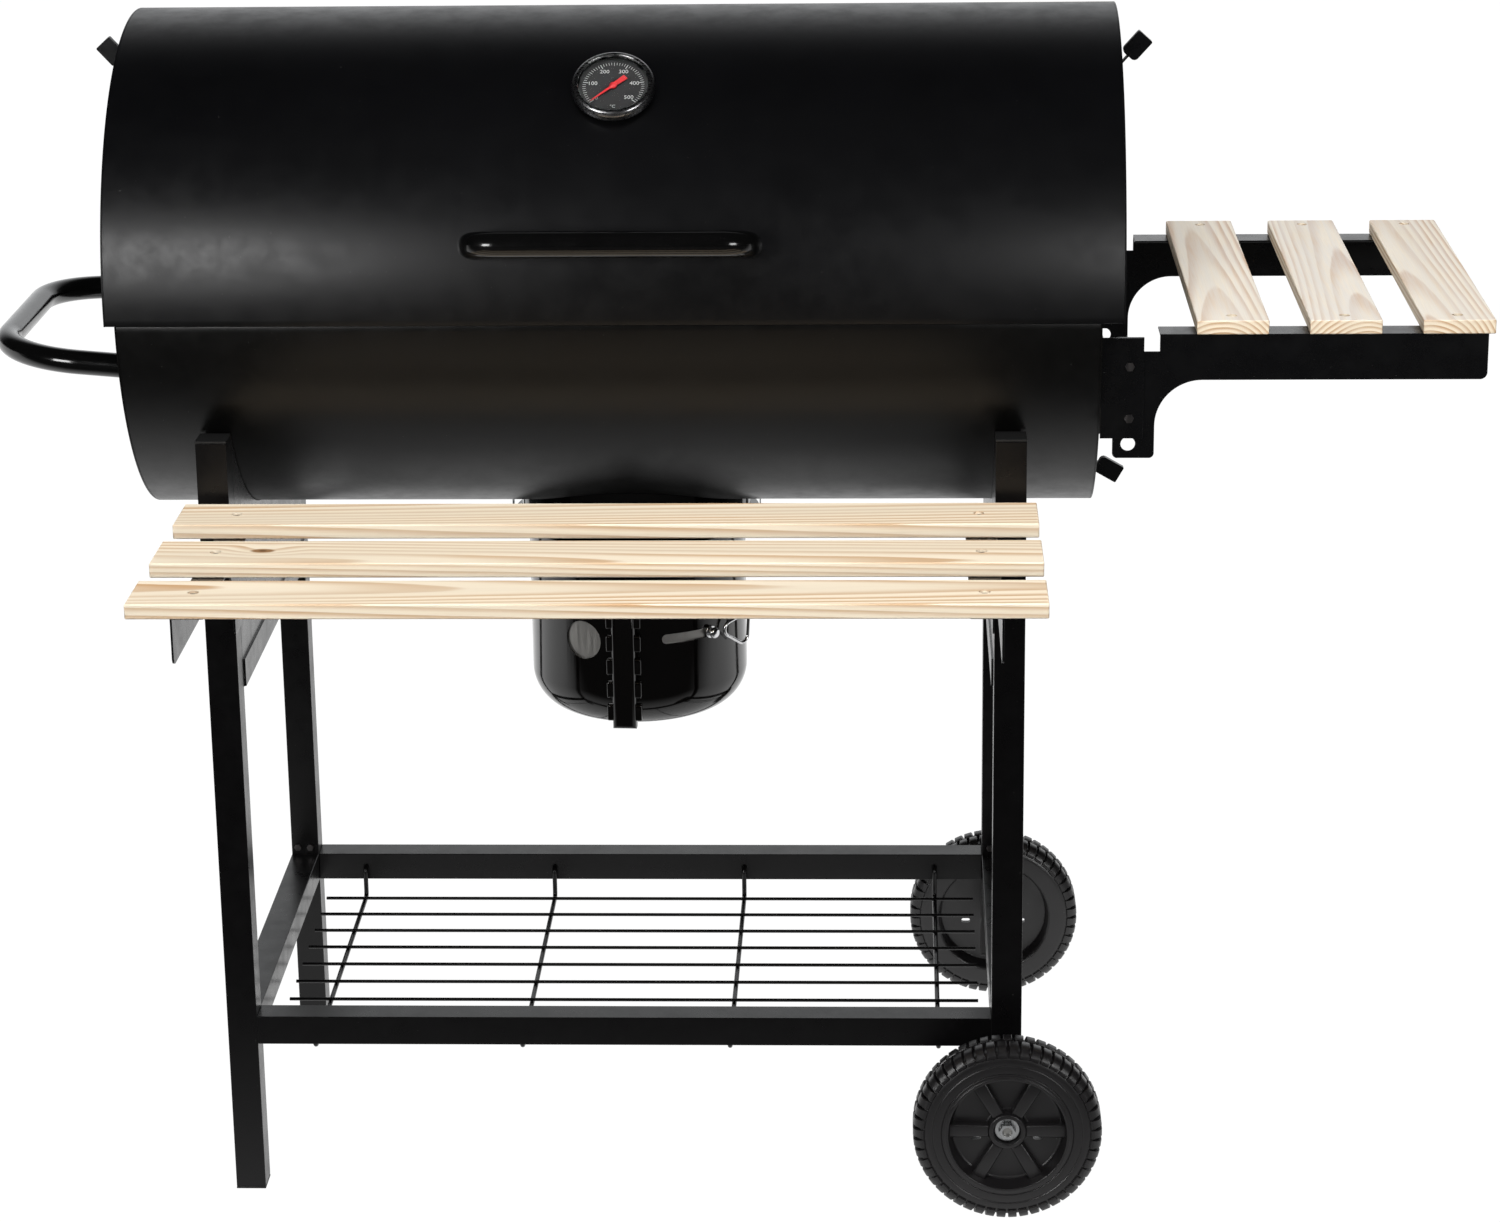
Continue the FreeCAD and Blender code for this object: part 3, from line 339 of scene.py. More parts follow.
# Pine: growth rings about a pith that lies below or beside the board, wandering along its length,
# with fibre streaks and knots. U runs along the board.
def makePineGroup():
    group, into, out = newGroup("pineGrain", [
        ("Place", "NodeSocketVector", None), ("Pith", "NodeSocketVector", (0, 0, -0.06)),
        ("Ring gap", "NodeSocketFloat", 0.0034), ("Wander", "NodeSocketFloat", 0.012),
        ("Early wood", "NodeSocketColor", (0.8, 0.7, 0.5, 1)),
        ("Late wood", "NodeSocketColor", (0.5, 0.3, 0.15, 1)),
        ("Contrast", "NodeSocketFloat", 0.6), ("Knot", "NodeSocketVector", (9, 9, 9)),
        ("Knot size", "NodeSocketFloat", 0.006), ("Silver", "NodeSocketFloat", 0.0)],
        [("Color", "NodeSocketColor"), ("Roughness", "NodeSocketFloat"), ("Height", "NodeSocketFloat")])
    place = into.outputs["Place"]
    slow = addNode(group, "ShaderNodeMapping", {"Vector": place, "Scale": (1.1, 9.0, 9.0)}).outputs[0]
    drift = addNode(group, "ShaderNodeTexNoise", {"Vector": slow, "Scale": 1.0, "Detail": 2.0,
                                                  "Roughness": 0.45}).outputs["Color"]
    drift = addNode(group, "ShaderNodeVectorMath", {0: drift, 1: (0.5, 0.5, 0.5)},
                    operation="SUBTRACT").outputs[0]
    drift = addNode(group, "ShaderNodeVectorMath", {0: drift, "Scale": into.outputs["Wander"]},
                    operation="SCALE").outputs[0]
    ripple = addNode(group, "ShaderNodeMapping", {"Vector": place, "Scale": (7.0, 60.0, 60.0)}).outputs[0]
    ripple = addNode(group, "ShaderNodeTexNoise", {"Vector": ripple, "Scale": 1.0,
                                                   "Detail": 3.0}).outputs["Fac"]
    moved = addNode(group, "ShaderNodeVectorMath", {0: place, 1: drift}, operation="ADD").outputs[0]
    fromPith = addNode(group, "ShaderNodeVectorMath", {0: moved, 1: into.outputs["Pith"]},
                       operation="SUBTRACT").outputs[0]
    parts = addNode(group, "ShaderNodeSeparateXYZ", {0: fromPith})
    tilt = calc(group, "MULTIPLY", parts.outputs["X"], 0.018)
    across = addNode(group, "ShaderNodeCombineXYZ", {"Y": parts.outputs["Y"],
                                                     "Z": parts.outputs["Z"]}).outputs[0]
    radius = addNode(group, "ShaderNodeVectorMath", {0: across}, operation="LENGTH").outputs["Value"]
    radius = calc(group, "ADD", calc(group, "ADD", radius, tilt), calc(group, "MULTIPLY", ripple, 0.0009))
    # rings bulge round a knot
    toKnot = addNode(group, "ShaderNodeVectorMath", {0: place, 1: into.outputs["Knot"]}, operation="SUBTRACT")
    squeezed = addNode(group, "ShaderNodeMapping", {"Vector": toKnot.outputs[0],
                                                    "Scale": (0.55, 1.0, 0.0)}).outputs[0]
    knotAway = addNode(group, "ShaderNodeVectorMath", {0: squeezed}, operation="LENGTH").outputs["Value"]
    knotRatio = calc(group, "DIVIDE", knotAway, into.outputs["Knot size"])
    bulge = spread(group, knotRatio, 4.5, 0.0, 0.0, 0.007)
    ringCount = calc(group, "DIVIDE", calc(group, "ADD", radius, bulge), into.outputs["Ring gap"])
    rings = calc(group, "FRACT", ringCount)
    late = calc(group, "MULTIPLY", spread(group, rings, 0.25, 0.86), spread(group, rings, 1.0, 0.9))
    fibreAt = addNode(group, "ShaderNodeMapping", {"Vector": place,
                                                   "Scale": (14.0, 1300.0, 1300.0)}).outputs[0]
    fibre = addNode(group, "ShaderNodeTexNoise", {"Vector": fibreAt, "Scale": 1.0, "Detail": 3.0,
                                                  "Roughness": 0.6}).outputs["Fac"]
    patchAt = addNode(group, "ShaderNodeMapping", {"Vector": place, "Scale": (2.2, 22.0, 22.0)}).outputs[0]
    patch = addNode(group, "ShaderNodeTexNoise", {"Vector": patchAt, "Scale": 1.0,
                                                  "Detail": 2.0}).outputs["Fac"]
    strength = calc(group, "MULTIPLY", into.outputs["Contrast"], spread(group, patch, 0.3, 0.7, 0.45, 1.25))
    dark = calc(group, "MULTIPLY", late, strength, True)
    dark = calc(group, "ADD", dark, spread(group, fibre, 0.45, 0.75, 0.0, 0.16), True)
    colour = blendColours(group, dark, into.outputs["Early wood"], into.outputs["Late wood"])
    lightness = spread(group, patch, 0.25, 0.75, 0.93, 1.05)
    mottled = addNode(group, "ShaderNodeHueSaturation", {"Value": lightness, "Color": colour}).outputs[0]
    inKnot = spread(group, knotRatio, 1.25, 0.75)
    colour = blendColours(group, inKnot, mottled, (0.30, 0.165, 0.075))
    colour = blendColours(group, spread(group, knotRatio, 0.45, 0.2), colour, (0.13, 0.07, 0.035))
    greyed = addNode(group, "ShaderNodeMapping", {"Vector": place, "Scale": (9.0, 160.0, 160.0)}).outputs[0]
    greyed = addNode(group, "ShaderNodeTexNoise", {"Vector": greyed, "Scale": 1.0, "Detail": 5.0,
                                                   "Roughness": 0.65}).outputs["Fac"]
    patchy = spread(group, greyed, 0.3, 0.62, 0.45, 1.0)
    silver = calc(group, "MULTIPLY", into.outputs["Silver"], patchy, True)
    colour = blendColours(group, silver, colour, (0.70, 0.69, 0.68))
    height = calc(group, "ADD", calc(group, "MULTIPLY", fibre, 0.6), calc(group, "MULTIPLY", late, -0.4))
    rough = spread(group, fibre, 0.3, 0.7, 0.5, 0.66)
    group.links.new(colour, out.inputs["Color"])
    group.links.new(rough, out.inputs["Roughness"])
    group.links.new(height, out.inputs["Height"])
    return group


coatGroup = makeCoatGroup()
pineGroup = makePineGroup()


def addBump(tree, shader, height, strength, distance):
    bump = addNode(tree, "ShaderNodeBump", {"Height": height, "Strength": strength, "Distance": distance})
    tree.links.new(bump.outputs["Normal"], shader.inputs["Normal"])


def coatMaterial(name, tone, wornTone, roughness, specular=0.5, dust=0.4, pebble=900.0, bump=0.12, coat=0.0):
    material, tree, shader = newMaterial(name)
    made = useGroup(tree, coatGroup, Tone=(*tone, 1), WornTone=(*wornTone, 1), Roughness=roughness, Dust=dust,
                    PebbleSize=pebble)
    tree.links.new(made.outputs["Color"], shader.inputs["Base Color"])
    tree.links.new(made.outputs["Roughness"], shader.inputs["Roughness"])
    shader.inputs["Specular IOR Level"].default_value = specular
    shader.inputs["Coat Weight"].default_value = coat
    shader.inputs["Coat Roughness"].default_value = 0.05
    addBump(tree, shader, made.outputs["Height"], bump, 0.0002)
    return material


def metalMaterial(name, tone, roughness, streak=0.06, scale=(400.0, 30.0, 30.0)):
    material, tree, shader = newMaterial(name)
    place = addNode(tree, "ShaderNodeMapping", {"Vector": objectPlace(tree), "Scale": scale}).outputs[0]
    streaks = addNode(tree, "ShaderNodeTexNoise", {"Vector": place, "Scale": 1.0,
                                                   "Detail": 4.0}).outputs["Fac"]
    colour = blendColours(tree, streaks, [c * 0.86 for c in tone], tone)
    tree.links.new(colour, shader.inputs["Base Color"])
    tree.links.new(spread(tree, streaks, 0.25, 0.75, roughness - streak, roughness + streak),
                   shader.inputs["Roughness"])
    shader.inputs["Metallic"].default_value = 1.0
    addBump(tree, shader, streaks, 0.05, 0.0002)
    return material


def pineMaterial(name, centre, alongY, pith, early, late, contrast, ringGap, silver=0.0, knot=(9, 9, 9)):
    material, tree, shader = newMaterial(name)
    turn = (0, 0, -math.pi / 2) if alongY else (0, 0, 0)
    # the board's own middle becomes the origin, with U along the board
    shifted = addNode(tree, "ShaderNodeMapping", {"Vector": objectPlace(tree),
                                                  "Location": [-c for c in centre]})
    lengthways = addNode(tree, "ShaderNodeMapping", {"Vector": shifted.outputs[0], "Rotation": turn})
    # weathering sits on the upper face only
    facing = tree.nodes.new("ShaderNodeTexCoord").outputs["Normal"]
    upward = addNode(tree, "ShaderNodeSeparateXYZ", {0: facing})
    weathered = calc(tree, "MULTIPLY", spread(tree, upward.outputs["Z"], 0.3, 0.9), silver)
    made = useGroup(tree, pineGroup, Place=lengthways.outputs[0], Pith=pith, EarlyWood=(*early, 1),
                    LateWood=(*late, 1), Contrast=contrast, RingGap=ringGap, Silver=weathered, Knot=knot)
    tree.links.new(made.outputs["Color"], shader.inputs["Base Color"])
    tree.links.new(made.outputs["Roughness"], shader.inputs["Roughness"])
    shader.inputs["Specular IOR Level"].default_value = 0.3
    addBump(tree, shader, made.outputs["Height"], 0.35, 0.0004)
    return material


def paintMaterial(name, tone, roughness):
    material, tree, shader = newMaterial(name)
    grain = addNode(tree, "ShaderNodeTexNoise", {"Vector": objectPlace(tree), "Scale": 700.0, "Detail": 2.0})
    colour = blendColours(tree, grain.outputs["Fac"], [c * 0.88 for c in tone], tone)
    tree.links.new(colour, shader.inputs["Base Color"])
    tree.links.new(spread(tree, grain.outputs["Fac"], 0.3, 0.7, roughness - 0.05, roughness + 0.05),
                   shader.inputs["Roughness"])
    return material


def glassMaterial(name):
    material, tree, shader = newMaterial(name)
    shader.inputs["Base Color"].default_value = (1, 1, 1, 1)
    shader.inputs["Roughness"].default_value = 0.02
    shader.inputs["Transmission Weight"].default_value = 1.0
    shader.inputs["IOR"].default_value = 1.45
    return material


lidCoat = coatMaterial("lidCoat", (0.0014, 0.0014, 0.0017), (0.0023, 0.0023, 0.0028), 0.375, 0.36)
bodyCoat = coatMaterial("bodyCoat", (0.0016, 0.0015, 0.0014), (0.0026, 0.0024, 0.0023), 0.35, 0.30)
frameCoat = coatMaterial("frameCoat", (0.0016, 0.0014, 0.0016), (0.0026, 0.0024, 0.0026), 0.30, 0.30,
                         dust=0.3)
plateCoat = coatMaterial("plateCoat", (0.0014, 0.0014, 0.0017), (0.0023, 0.0023, 0.0028), 0.28, 0.45,
                         dust=0.3)
blackEnamel = coatMaterial("blackEnamel", (0.0010, 0.0007, 0.0006), (0.0014, 0.0010, 0.0009), 0.09, 0.40,
                           dust=0.0, pebble=120.0, bump=0.02, coat=0.2)
tubeEnamel = coatMaterial("tubeEnamel", (0.0016, 0.0016, 0.0016), (0.0024, 0.0024, 0.0024), 0.18, 0.45,
                          dust=0.0, pebble=160.0, bump=0.02, coat=0.3)
mouldedPlastic = coatMaterial("mouldedPlastic", (0.0062, 0.0056, 0.0060), (0.010, 0.0092, 0.0098), 0.37, 0.55,
                              dust=0.7, pebble=650.0, bump=0.25)
capPlastic = coatMaterial("capPlastic", (0.008, 0.008, 0.008), (0.012, 0.012, 0.012), 0.55, 0.4, dust=0.2)
brightChrome = metalMaterial("brightChrome", (0.80, 0.80, 0.81), 0.12, 0.04)
plainSteel = metalMaterial("plainSteel", (0.46, 0.45, 0.43), 0.42, 0.1)
screwSteel = metalMaterial("screwSteel", (0.16, 0.15, 0.15), 0.38, 0.08)
brushedRing = metalMaterial("brushedRing", (0.42, 0.42, 0.43), 0.27, 0.08, (90.0, 900.0, 900.0))
zincSteel = metalMaterial("zincSteel", (0.62, 0.63, 0.64), 0.26, 0.07)
dialBlack = paintMaterial("dialBlack", (0.006, 0.007, 0.008), 0.5)
dialPrint = paintMaterial("dialPrint", (0.62, 0.64, 0.62), 0.5)
needleRed = paintMaterial("needleRed", (0.62, 0.015, 0.02), 0.4)
clearGlass = glassMaterial("clearGlass")
print("materials made")


# Sheet and tube parts that keep their CAD shape, with eased edges.

def dress(node, material, edge=0.5, smooth=38, name=None):
    bm = bmesh.new()
    bm.from_mesh(nodes[node].data)
    bmesh.ops.remove_doubles(bm, verts=bm.verts[:], dist=2e-5)
    bmesh.ops.dissolve_limit(bm, angle_limit=math.radians(0.4), verts=bm.verts[:], edges=bm.edges[:],
                             use_dissolve_boundaries=False)
    if edge > 0:
        sharp = [e for e in bm.edges if len(e.link_faces) == 2 and e.calc_length() > 9 * edge * mm
                 and e.calc_face_angle() > math.radians(40)]
        bmesh.ops.bevel(bm, geom=sharp, offset=edge * mm, offset_type="OFFSET", segments=2, profile=0.5,
                        affect="EDGES", clamp_overlap=False, material=-1)
    body = nodes[node]["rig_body"]
    piece = addPiece(name or node + "_eased", bm, material, body, [node], smooth)
    level = piece.modifiers.new("level", "WEIGHTED_NORMAL")
    level.keep_sharp = True
    level.weight = 100
    return piece


dressed = {
    frameCoat: (0.7, ["leg_front_left", "leg_front_right", "leg_rear_left", "leg_rear_right",
                      "rail_front", "rail_rear", "rail_left", "rail_right"]),
    plateCoat: (0.35, ["cradle_left", "cradle_right", "shelf_arm_left", "shelf_arm_right", "shelf_angles",
                       "side_bracket_front", "side_bracket_rear", "hinge_body_leaves", "hinge_lid_leaves",
                       "lid_damper_left", "lid_damper_right", "body_damper_left", "body_damper_right"]),
    capPlastic: (0.5, ["leg_caps"]),
    zincSteel: (0.3, ["pot_clips", "axle_nuts"]),
}
for material, (edge, names) in dressed.items():
    for node in names:
        dress(node, material, edge)

# these keep the CAD mesh and take a finish
finished = {
    frameCoat: ["wire_rack"],
    bodyCoat: ["body_end_left", "body_end_right", "grate_ledges"],
    lidCoat: ["lid_end_left", "lid_end_right"],
    blackEnamel: ["pot_collar"],
    brightChrome: ["cooking_grate_left", "cooking_grate_right"],
    plainSteel: ["charcoal_grate", "vent_ring", "axle"],
    screwSteel: ["body_fasteners", "lid_fasteners", "frame_bolts", "shelf_screws", "pot_screws"],
}
for material, names in finished.items():
    for node in names:
        nodes[node].data.materials.clear()
        nodes[node].data.materials.append(material)
print("frame parts finished")


# Barrel and lid.

barrel = {
    "sheet": 1.5 * mm,
    "turnSteps": 128,      # facets round the half drum
    "edgeRounding": 0.5 * mm,
    "rimWidth": 12 * mm,   # flange along the body's long edges
    "ashHole": 104 * mm,   # radius of the hole above the pot
}


def halfDrum(node, upper):
    low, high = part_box(node)
    radius = (high.y - low.y) / 2
    axisY = (high.y + low.y) / 2
    axisZ = high.z - radius if upper else low.z + radius
    edgeZ = low.z if upper else high.z
    start = math.asin((edgeZ - axisZ) / radius)
    sweep = math.pi - 2 * start if upper else math.pi + 2 * start
    bm = bmesh.new()
    ends = [bm.verts.new((x, axisY - radius * math.cos(start), axisZ + radius * math.sin(start)))
            for x in (low.x, high.x)]
    line = bm.edges.new(ends)
    bmesh.ops.spin(bm, geom=[line] + ends, cent=(0, axisY, axisZ), axis=(-1 if upper else 1, 0, 0),
                   angle=sweep, steps=barrel["turnSteps"])
    bmesh.ops.recalc_face_normals(bm, faces=bm.faces[:])
    outwards = bm.faces[:][0]
    centre = outwards.calc_center_median() - Vector((0, axisY, axisZ))
    centre.x = 0
    if outwards.normal.dot(centre) < 0:
        bmesh.ops.reverse_faces(bm, faces=bm.faces[:])
    return bm, radius, axisY, axisZ


def drumSkin(name, node, upper, material, body):
    bm, radius, axisY, axisZ = halfDrum(node, upper)
    skin = addPiece(name, bm, material, body, [node], 30)
    wall = skin.modifiers.new("wall", "SOLIDIFY")
    wall.thickness = barrel["sheet"]
    wall.offset = -1
    wall.use_even_offset = True
    ease = skin.modifiers.new("ease", "BEVEL")
    ease.width = barrel["edgeRounding"]
    ease.segments = 2
    ease.limit_method = "ANGLE"
    ease.angle_limit = math.radians(50)
    bpy.context.view_layer.update()
    applyModifiers(skin, 30)
    return skin, radius, axisY, axisZ


lidRadius = drumSkin("lid_skin", "lid_shell", True, lidCoat, "lid")[1]
bodySkin, bodyRadius, axisY, axisZ = drumSkin("body_skin", "body_shell", False, bodyCoat, "cart")

# the ash drops through a round hole above the pot
potAt = middle("ash_pot")
ashHole = bmesh.new()
bmesh.ops.create_cone(ashHole, cap_ends=True, segments=96, radius1=barrel["ashHole"],
                      radius2=barrel["ashHole"], depth=0.2,
                      matrix=Matrix.Translation((potAt.x, potAt.y, axisZ - bodyRadius)))
cutWith(bodySkin, ashHole, 30)

# flanges turned in along the body's front and back edges
rim = bmesh.new()
bodyLow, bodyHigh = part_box("body_shell")
rimReach = math.sqrt((bodyRadius - barrel["sheet"]) ** 2 - (axisZ - bodyHigh.z) ** 2)
for side in (-1, 1):
    inner, outer = sorted((axisY + side * (rimReach - barrel["rimWidth"]),
                           axisY + side * (rimReach + 0.5 * mm)))
    block(rim, (bodyLow.x, inner, bodyHigh.z - barrel["sheet"]), (bodyHigh.x, outer, bodyHigh.z - 0.05 * mm),
          0.3 * mm)
addPiece("body_rim", rim, bodyCoat, "cart")
print("barrel made")


# Handles.

liftHandle = {"tube": 12.5 * mm, "halfSpan": 131 * mm, "standoff": 45 * mm, "angle": 14.5, "bend": 28 * mm}
lidMid = middle("lid_shell").x
liftTip = math.radians(liftHandle["angle"])
outWay = Vector((0, -math.cos(liftTip), math.sin(liftTip)))
lidAxis = Vector((lidMid, axisY, axisZ))
footSpot = lidAxis + outWay * (lidRadius + 0.1 * mm)
barSpot = lidAxis + outWay * (lidRadius + liftHandle["standoff"])
half = Vector((liftHandle["halfSpan"], 0, 0))
bm = bentTube([footSpot - half, barSpot - half, barSpot + half, footSpot + half], liftHandle["tube"],
              liftHandle["bend"], sides=40, bendSteps=18)
addPiece("lid_handle_tube", bm, tubeEnamel, "lid", ["lid_handle"])

sideHandle = {"tube": 12 * mm, "bend": 86 * mm, "halfWidth": 160 * mm, "rise": 12 * mm}
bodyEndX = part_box("body_end_left")[0].x
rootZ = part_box("side_handle")[0].z + sideHandle["tube"]
barX = cadLow.x + sideHandle["tube"]
corners = [(x, axisY + side * sideHandle["halfWidth"], z) for x, side, z in (
    (bodyEndX, -1, rootZ), (barX, -1, rootZ + sideHandle["rise"]), (barX, 1, rootZ + sideHandle["rise"]),
    (bodyEndX, 1, rootZ))]
bm = bentTube(corners, sideHandle["tube"], sideHandle["bend"], sides=40, bendSteps=22)
addPiece("side_handle_tube", bm, tubeEnamel, "cart", ["side_handle"])
print("handles made")


# Thermometer.

gauge = {
    "angle": 51.0,         # degrees up from straight ahead
    "radius": 40 * mm,
    "faceHeight": 5 * mm,  # from the lid to the case's back
    "zeroAt": 222.0,       # degrees round from the dial's right-hand side
    "sweep": 264.0,
    "highest": 500,
    "ticksPerHundred": 10,
    "digitSize": 6.2 * mm,
}
tip = math.radians(gauge["angle"])
dialOut = Vector((0, -math.cos(tip), math.sin(tip)))
dialUp = Vector((0, math.sin(tip), math.cos(tip)))
dialOrigin = lidAxis + dialOut * lidRadius
dialPlace = Matrix.Translation(dialOrigin) @ Matrix((
    (1, dialUp.x, dialOut.x, 0), (0, dialUp.y, dialOut.y, 0), (0, dialUp.z, dialOut.z, 0), (0, 0, 0, 1)))


def onDial(bm):
    bmesh.ops.transform(bm, matrix=dialPlace, verts=bm.verts[:])
    return bm


r = gauge["radius"] / mm
f = gauge["faceHeight"] / mm
section = [(r - 2.2, f - 0.6), (r - 0.6, f - 0.9), (r, f + 0.8), (r, f + 5.5), (r - 1.6, f + 8.8),
           (r - 3.6, f + 10.2), (r - 5.4, f + 10.1), (r - 6.2, f + 9.0), (r - 6.2, f + 8.4),
           (r - 3.4, f + 7.6), (r - 3.4, f + 1.2)]
bm = turned([(a * mm, b * mm) for a, b in section], (0, 0, 0), (0, 0, 1), 96, 0.8 * mm)
back = turned([(0.5 * mm, f * mm), (r * mm - 3.4 * mm, f * mm), (r * mm - 3.4 * mm, (f + 1.4) * mm),
               (0.5 * mm, (f + 1.4) * mm)], (0, 0, 0), (0, 0, 1), 64)
neck = turned([(6.2 * mm, -1 * mm), (12 * mm, -0.3 * mm), (12 * mm, 1.2 * mm), (9 * mm, 2 * mm),
               (9 * mm, (f + 0.2) * mm), (6.2 * mm, (f + 0.2) * mm)], (0, 0, 0), (0, 0, 1), 48, 0.3 * mm)
probe = turned([(0.2 * mm, -70 * mm), (3 * mm, -70 * mm, 2 * mm), (3 * mm, -17 * mm), (6 * mm, -17 * mm),
                (6 * mm, 1 * mm), (0.2 * mm, 1 * mm)], (0, 0, 0), (0, 0, 1), 32)
for extra in (back, neck, probe):
    absorb(bm, extra)
addPiece("gauge_case", onDial(bm), brushedRing, "lid", ["thermometer_case"], 32)

plateZ = (f + 2.8) * mm
bm = turned([(1.3 * mm, plateZ - 0.9 * mm), ((r - 3.6) * mm, plateZ - 0.9 * mm), ((r - 3.6) * mm, plateZ),
             (1.3 * mm, plateZ)], (0, 0, 0), (0, 0, 1), 96)
addPiece("gauge_dial", onDial(bm), dialBlack, "lid", ["thermometer_dial"])

# ticks, hundreds longer
bm = bmesh.new()
count = gauge["highest"] // 100 * gauge["ticksPerHundred"]
for i in range(count + 1):
    major = i % gauge["ticksPerHundred"] == 0
    midway = i % gauge["ticksPerHundred"] == gauge["ticksPerHundred"] // 2
    inner = 24.2 if major else 25.6 if midway else 26.4
    outer, width = 29.5, 0.34 if major else 0.2
    before = set(bm.verts)
    block(bm, (inner * mm, -width * mm, plateZ - 0.02 * mm), (outer * mm, width * mm, plateZ + 0.08 * mm))
    turn = Matrix.Rotation(math.radians(gauge["zeroAt"] - gauge["sweep"] * i / count), 4, "Z")
    bmesh.ops.transform(bm, matrix=turn, verts=[v for v in bm.verts if v not in before])
addPiece("gauge_ticks", onDial(bm), dialPrint, "lid")


def dialText(name, words, size, x, y):
    curve = bpy.data.curves.new(name, "FONT")
    curve.body = words
    curve.size = size
    curve.align_x = "CENTER"
    curve.align_y = "CENTER"
    curve.extrude = 0.04 * mm
    curve.resolution_u = 3
    lettering = bpy.data.objects.new(name, curve)
    bpy.context.scene.collection.objects.link(lettering)
    bpy.context.view_layer.update()
    mesh = bpy.data.meshes.new_from_object(lettering.evaluated_get(bpy.context.evaluated_depsgraph_get()))
    bpy.data.objects.remove(lettering)
    bm = bmesh.new()
    bm.from_mesh(mesh)
    bmesh.ops.translate(bm, vec=(x, y, plateZ + 0.05 * mm), verts=bm.verts[:])
    addPiece(name, onDial(bm), dialPrint, "lid")


for hundreds in range(gauge["highest"] // 100 + 1):
    angle = math.radians(gauge["zeroAt"] - gauge["sweep"] * hundreds / (gauge["highest"] // 100))
    reach = 20.2 * mm if hundreds else 21 * mm
    dialText("gauge_number_%d" % (hundreds * 100), str(hundreds * 100), gauge["digitSize"],
             reach * math.cos(angle), reach * math.sin(angle))
dialText("gauge_unit", "°C", gauge["digitSize"] * 0.8, 0, -24.5 * mm)

# red needle: a long thin point, a broad tail and a domed hub
bm = bmesh.new()
needleZ = (f + 4.2) * mm
pointer = [(0, 28.5), (0.55, 26), (1.1, 5), (2.3, 1.5), (2.5, -6), (2.9, -15.5), (-2.9, -15.5), (-2.5, -6),
           (-2.3, 1.5), (-1.1, 5), (-0.55, 26)]
blade = bm.faces.new([bm.verts.new((x * mm, y * mm, needleZ)) for x, y in pointer])
raised = bmesh.ops.extrude_face_region(bm, geom=[blade])["geom"]
bmesh.ops.translate(bm, vec=(0, 0, 0.7 * mm), verts=vertsOf(raised))
bmesh.ops.recalc_face_normals(bm, faces=bm.faces[:])
hub = turned([(0.1 * mm, needleZ - 0.8 * mm), (1.2 * mm, needleZ - 0.8 * mm), (1.2 * mm, needleZ - 0.2 * mm),
              (3.6 * mm, needleZ - 0.2 * mm), (3.6 * mm, needleZ + 0.9 * mm, 0.6 * mm),
              (2 * mm, needleZ + 1.6 * mm), (0.1 * mm, needleZ + 1.8 * mm)], (0, 0, 0), (0, 0, 1), 32)
absorb(bm, hub)
bmesh.ops.rotate(bm, cent=(0, 0, 0), verts=bm.verts[:],
                 matrix=Matrix.Rotation(math.radians(gauge["zeroAt"] - 90), 3, "Z"))
addPiece("gauge_needle", onDial(bm), needleRed, "needle",
         ["thermometer_needle"])

# slightly domed glass
bm = turned([(0.05 * mm, (f + 7.4) * mm), ((r - 3.7) * mm, (f + 7.4) * mm), ((r - 3.7) * mm, (f + 8.2) * mm),
             (20 * mm, (f + 8.9) * mm), (0.05 * mm, (f + 9.2) * mm)], (0, 0, 0), (0, 0, 1), 72)
addPiece("gauge_glass", onDial(bm), clearGlass, "lid", ["thermometer_glass"], 60)
print("thermometer made")


# Ash pot.

# millimetres, and degrees round from straight ahead
pot = {
    "radius": 111.0, "wall": 1.5, "knuckle": 41.0, "crown": 260.0, "rim": 126.0,
    "ventAngle": -27.5, "ventRadius": 20.0, "ventHeight": 544.0,
    "slotFrom": 18.0, "slotTo": 46.0, "slotReach": (100, 120), "slotRise": (-2, 8),
    "knobAngle": 44.0, "knobRise": 3,
}
potLow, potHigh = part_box("ash_pot")
floorZ = potLow.z / mm
topZ = potHigh.z / mm


def dish(radius, knuckle, crown, bottom):
    # dished bottom as points: shallow crown, then a tight knuckle up to the straight wall
    crownZ = bottom + crown
    knuckleR = radius - knuckle
    knuckleZ = crownZ - math.sqrt((crown - knuckle) ** 2 - knuckleR ** 2)
    meet = math.atan2(knuckleR, crownZ - knuckleZ)
    crownSteps, knuckleSteps = 14, 12
    points = [(crown * math.sin(meet * i / crownSteps), crownZ - crown * math.cos(meet * i / crownSteps))
              for i in range(1, crownSteps + 1)]
    for i in range(1, knuckleSteps + 1):
        angle = meet + (math.pi / 2 - meet) * i / knuckleSteps
        points.append((knuckleR + knuckle * math.sin(angle), knuckleZ - knuckle * math.cos(angle)))
    return [(0.01, bottom)] + points


outside = dish(pot["radius"], pot["knuckle"], pot["crown"], floorZ)
inside = dish(pot["radius"] - pot["wall"], pot["knuckle"] - pot["wall"], pot["crown"] - pot["wall"],
              floorZ + pot["wall"])
lip = [(pot["radius"], topZ - 5), (pot["radius"] + 1.2, topZ - 2.6), (pot["radius"] + 3.4, topZ - 1.7),
       (pot["rim"] - 1, topZ - 1.7), (pot["rim"], topZ - 0.9), (pot["rim"] - 0.8, topZ),
       (pot["radius"] - pot["wall"] + 1.5, topZ), (pot["radius"] - pot["wall"], topZ - 1.5)]
profile = [(a * mm, b * mm) for a, b in outside + lip + inside[::-1]]
bm = turned(profile, (potAt.x, potAt.y, 0), (0, 0, 1), 160)
potShell = addPiece("pot_shell", bm, blackEnamel, "pot", ["ash_pot"], 45)


def potWay(degrees):
    turn = math.radians(degrees)
    return Vector((math.sin(turn), -math.cos(turn), 0))


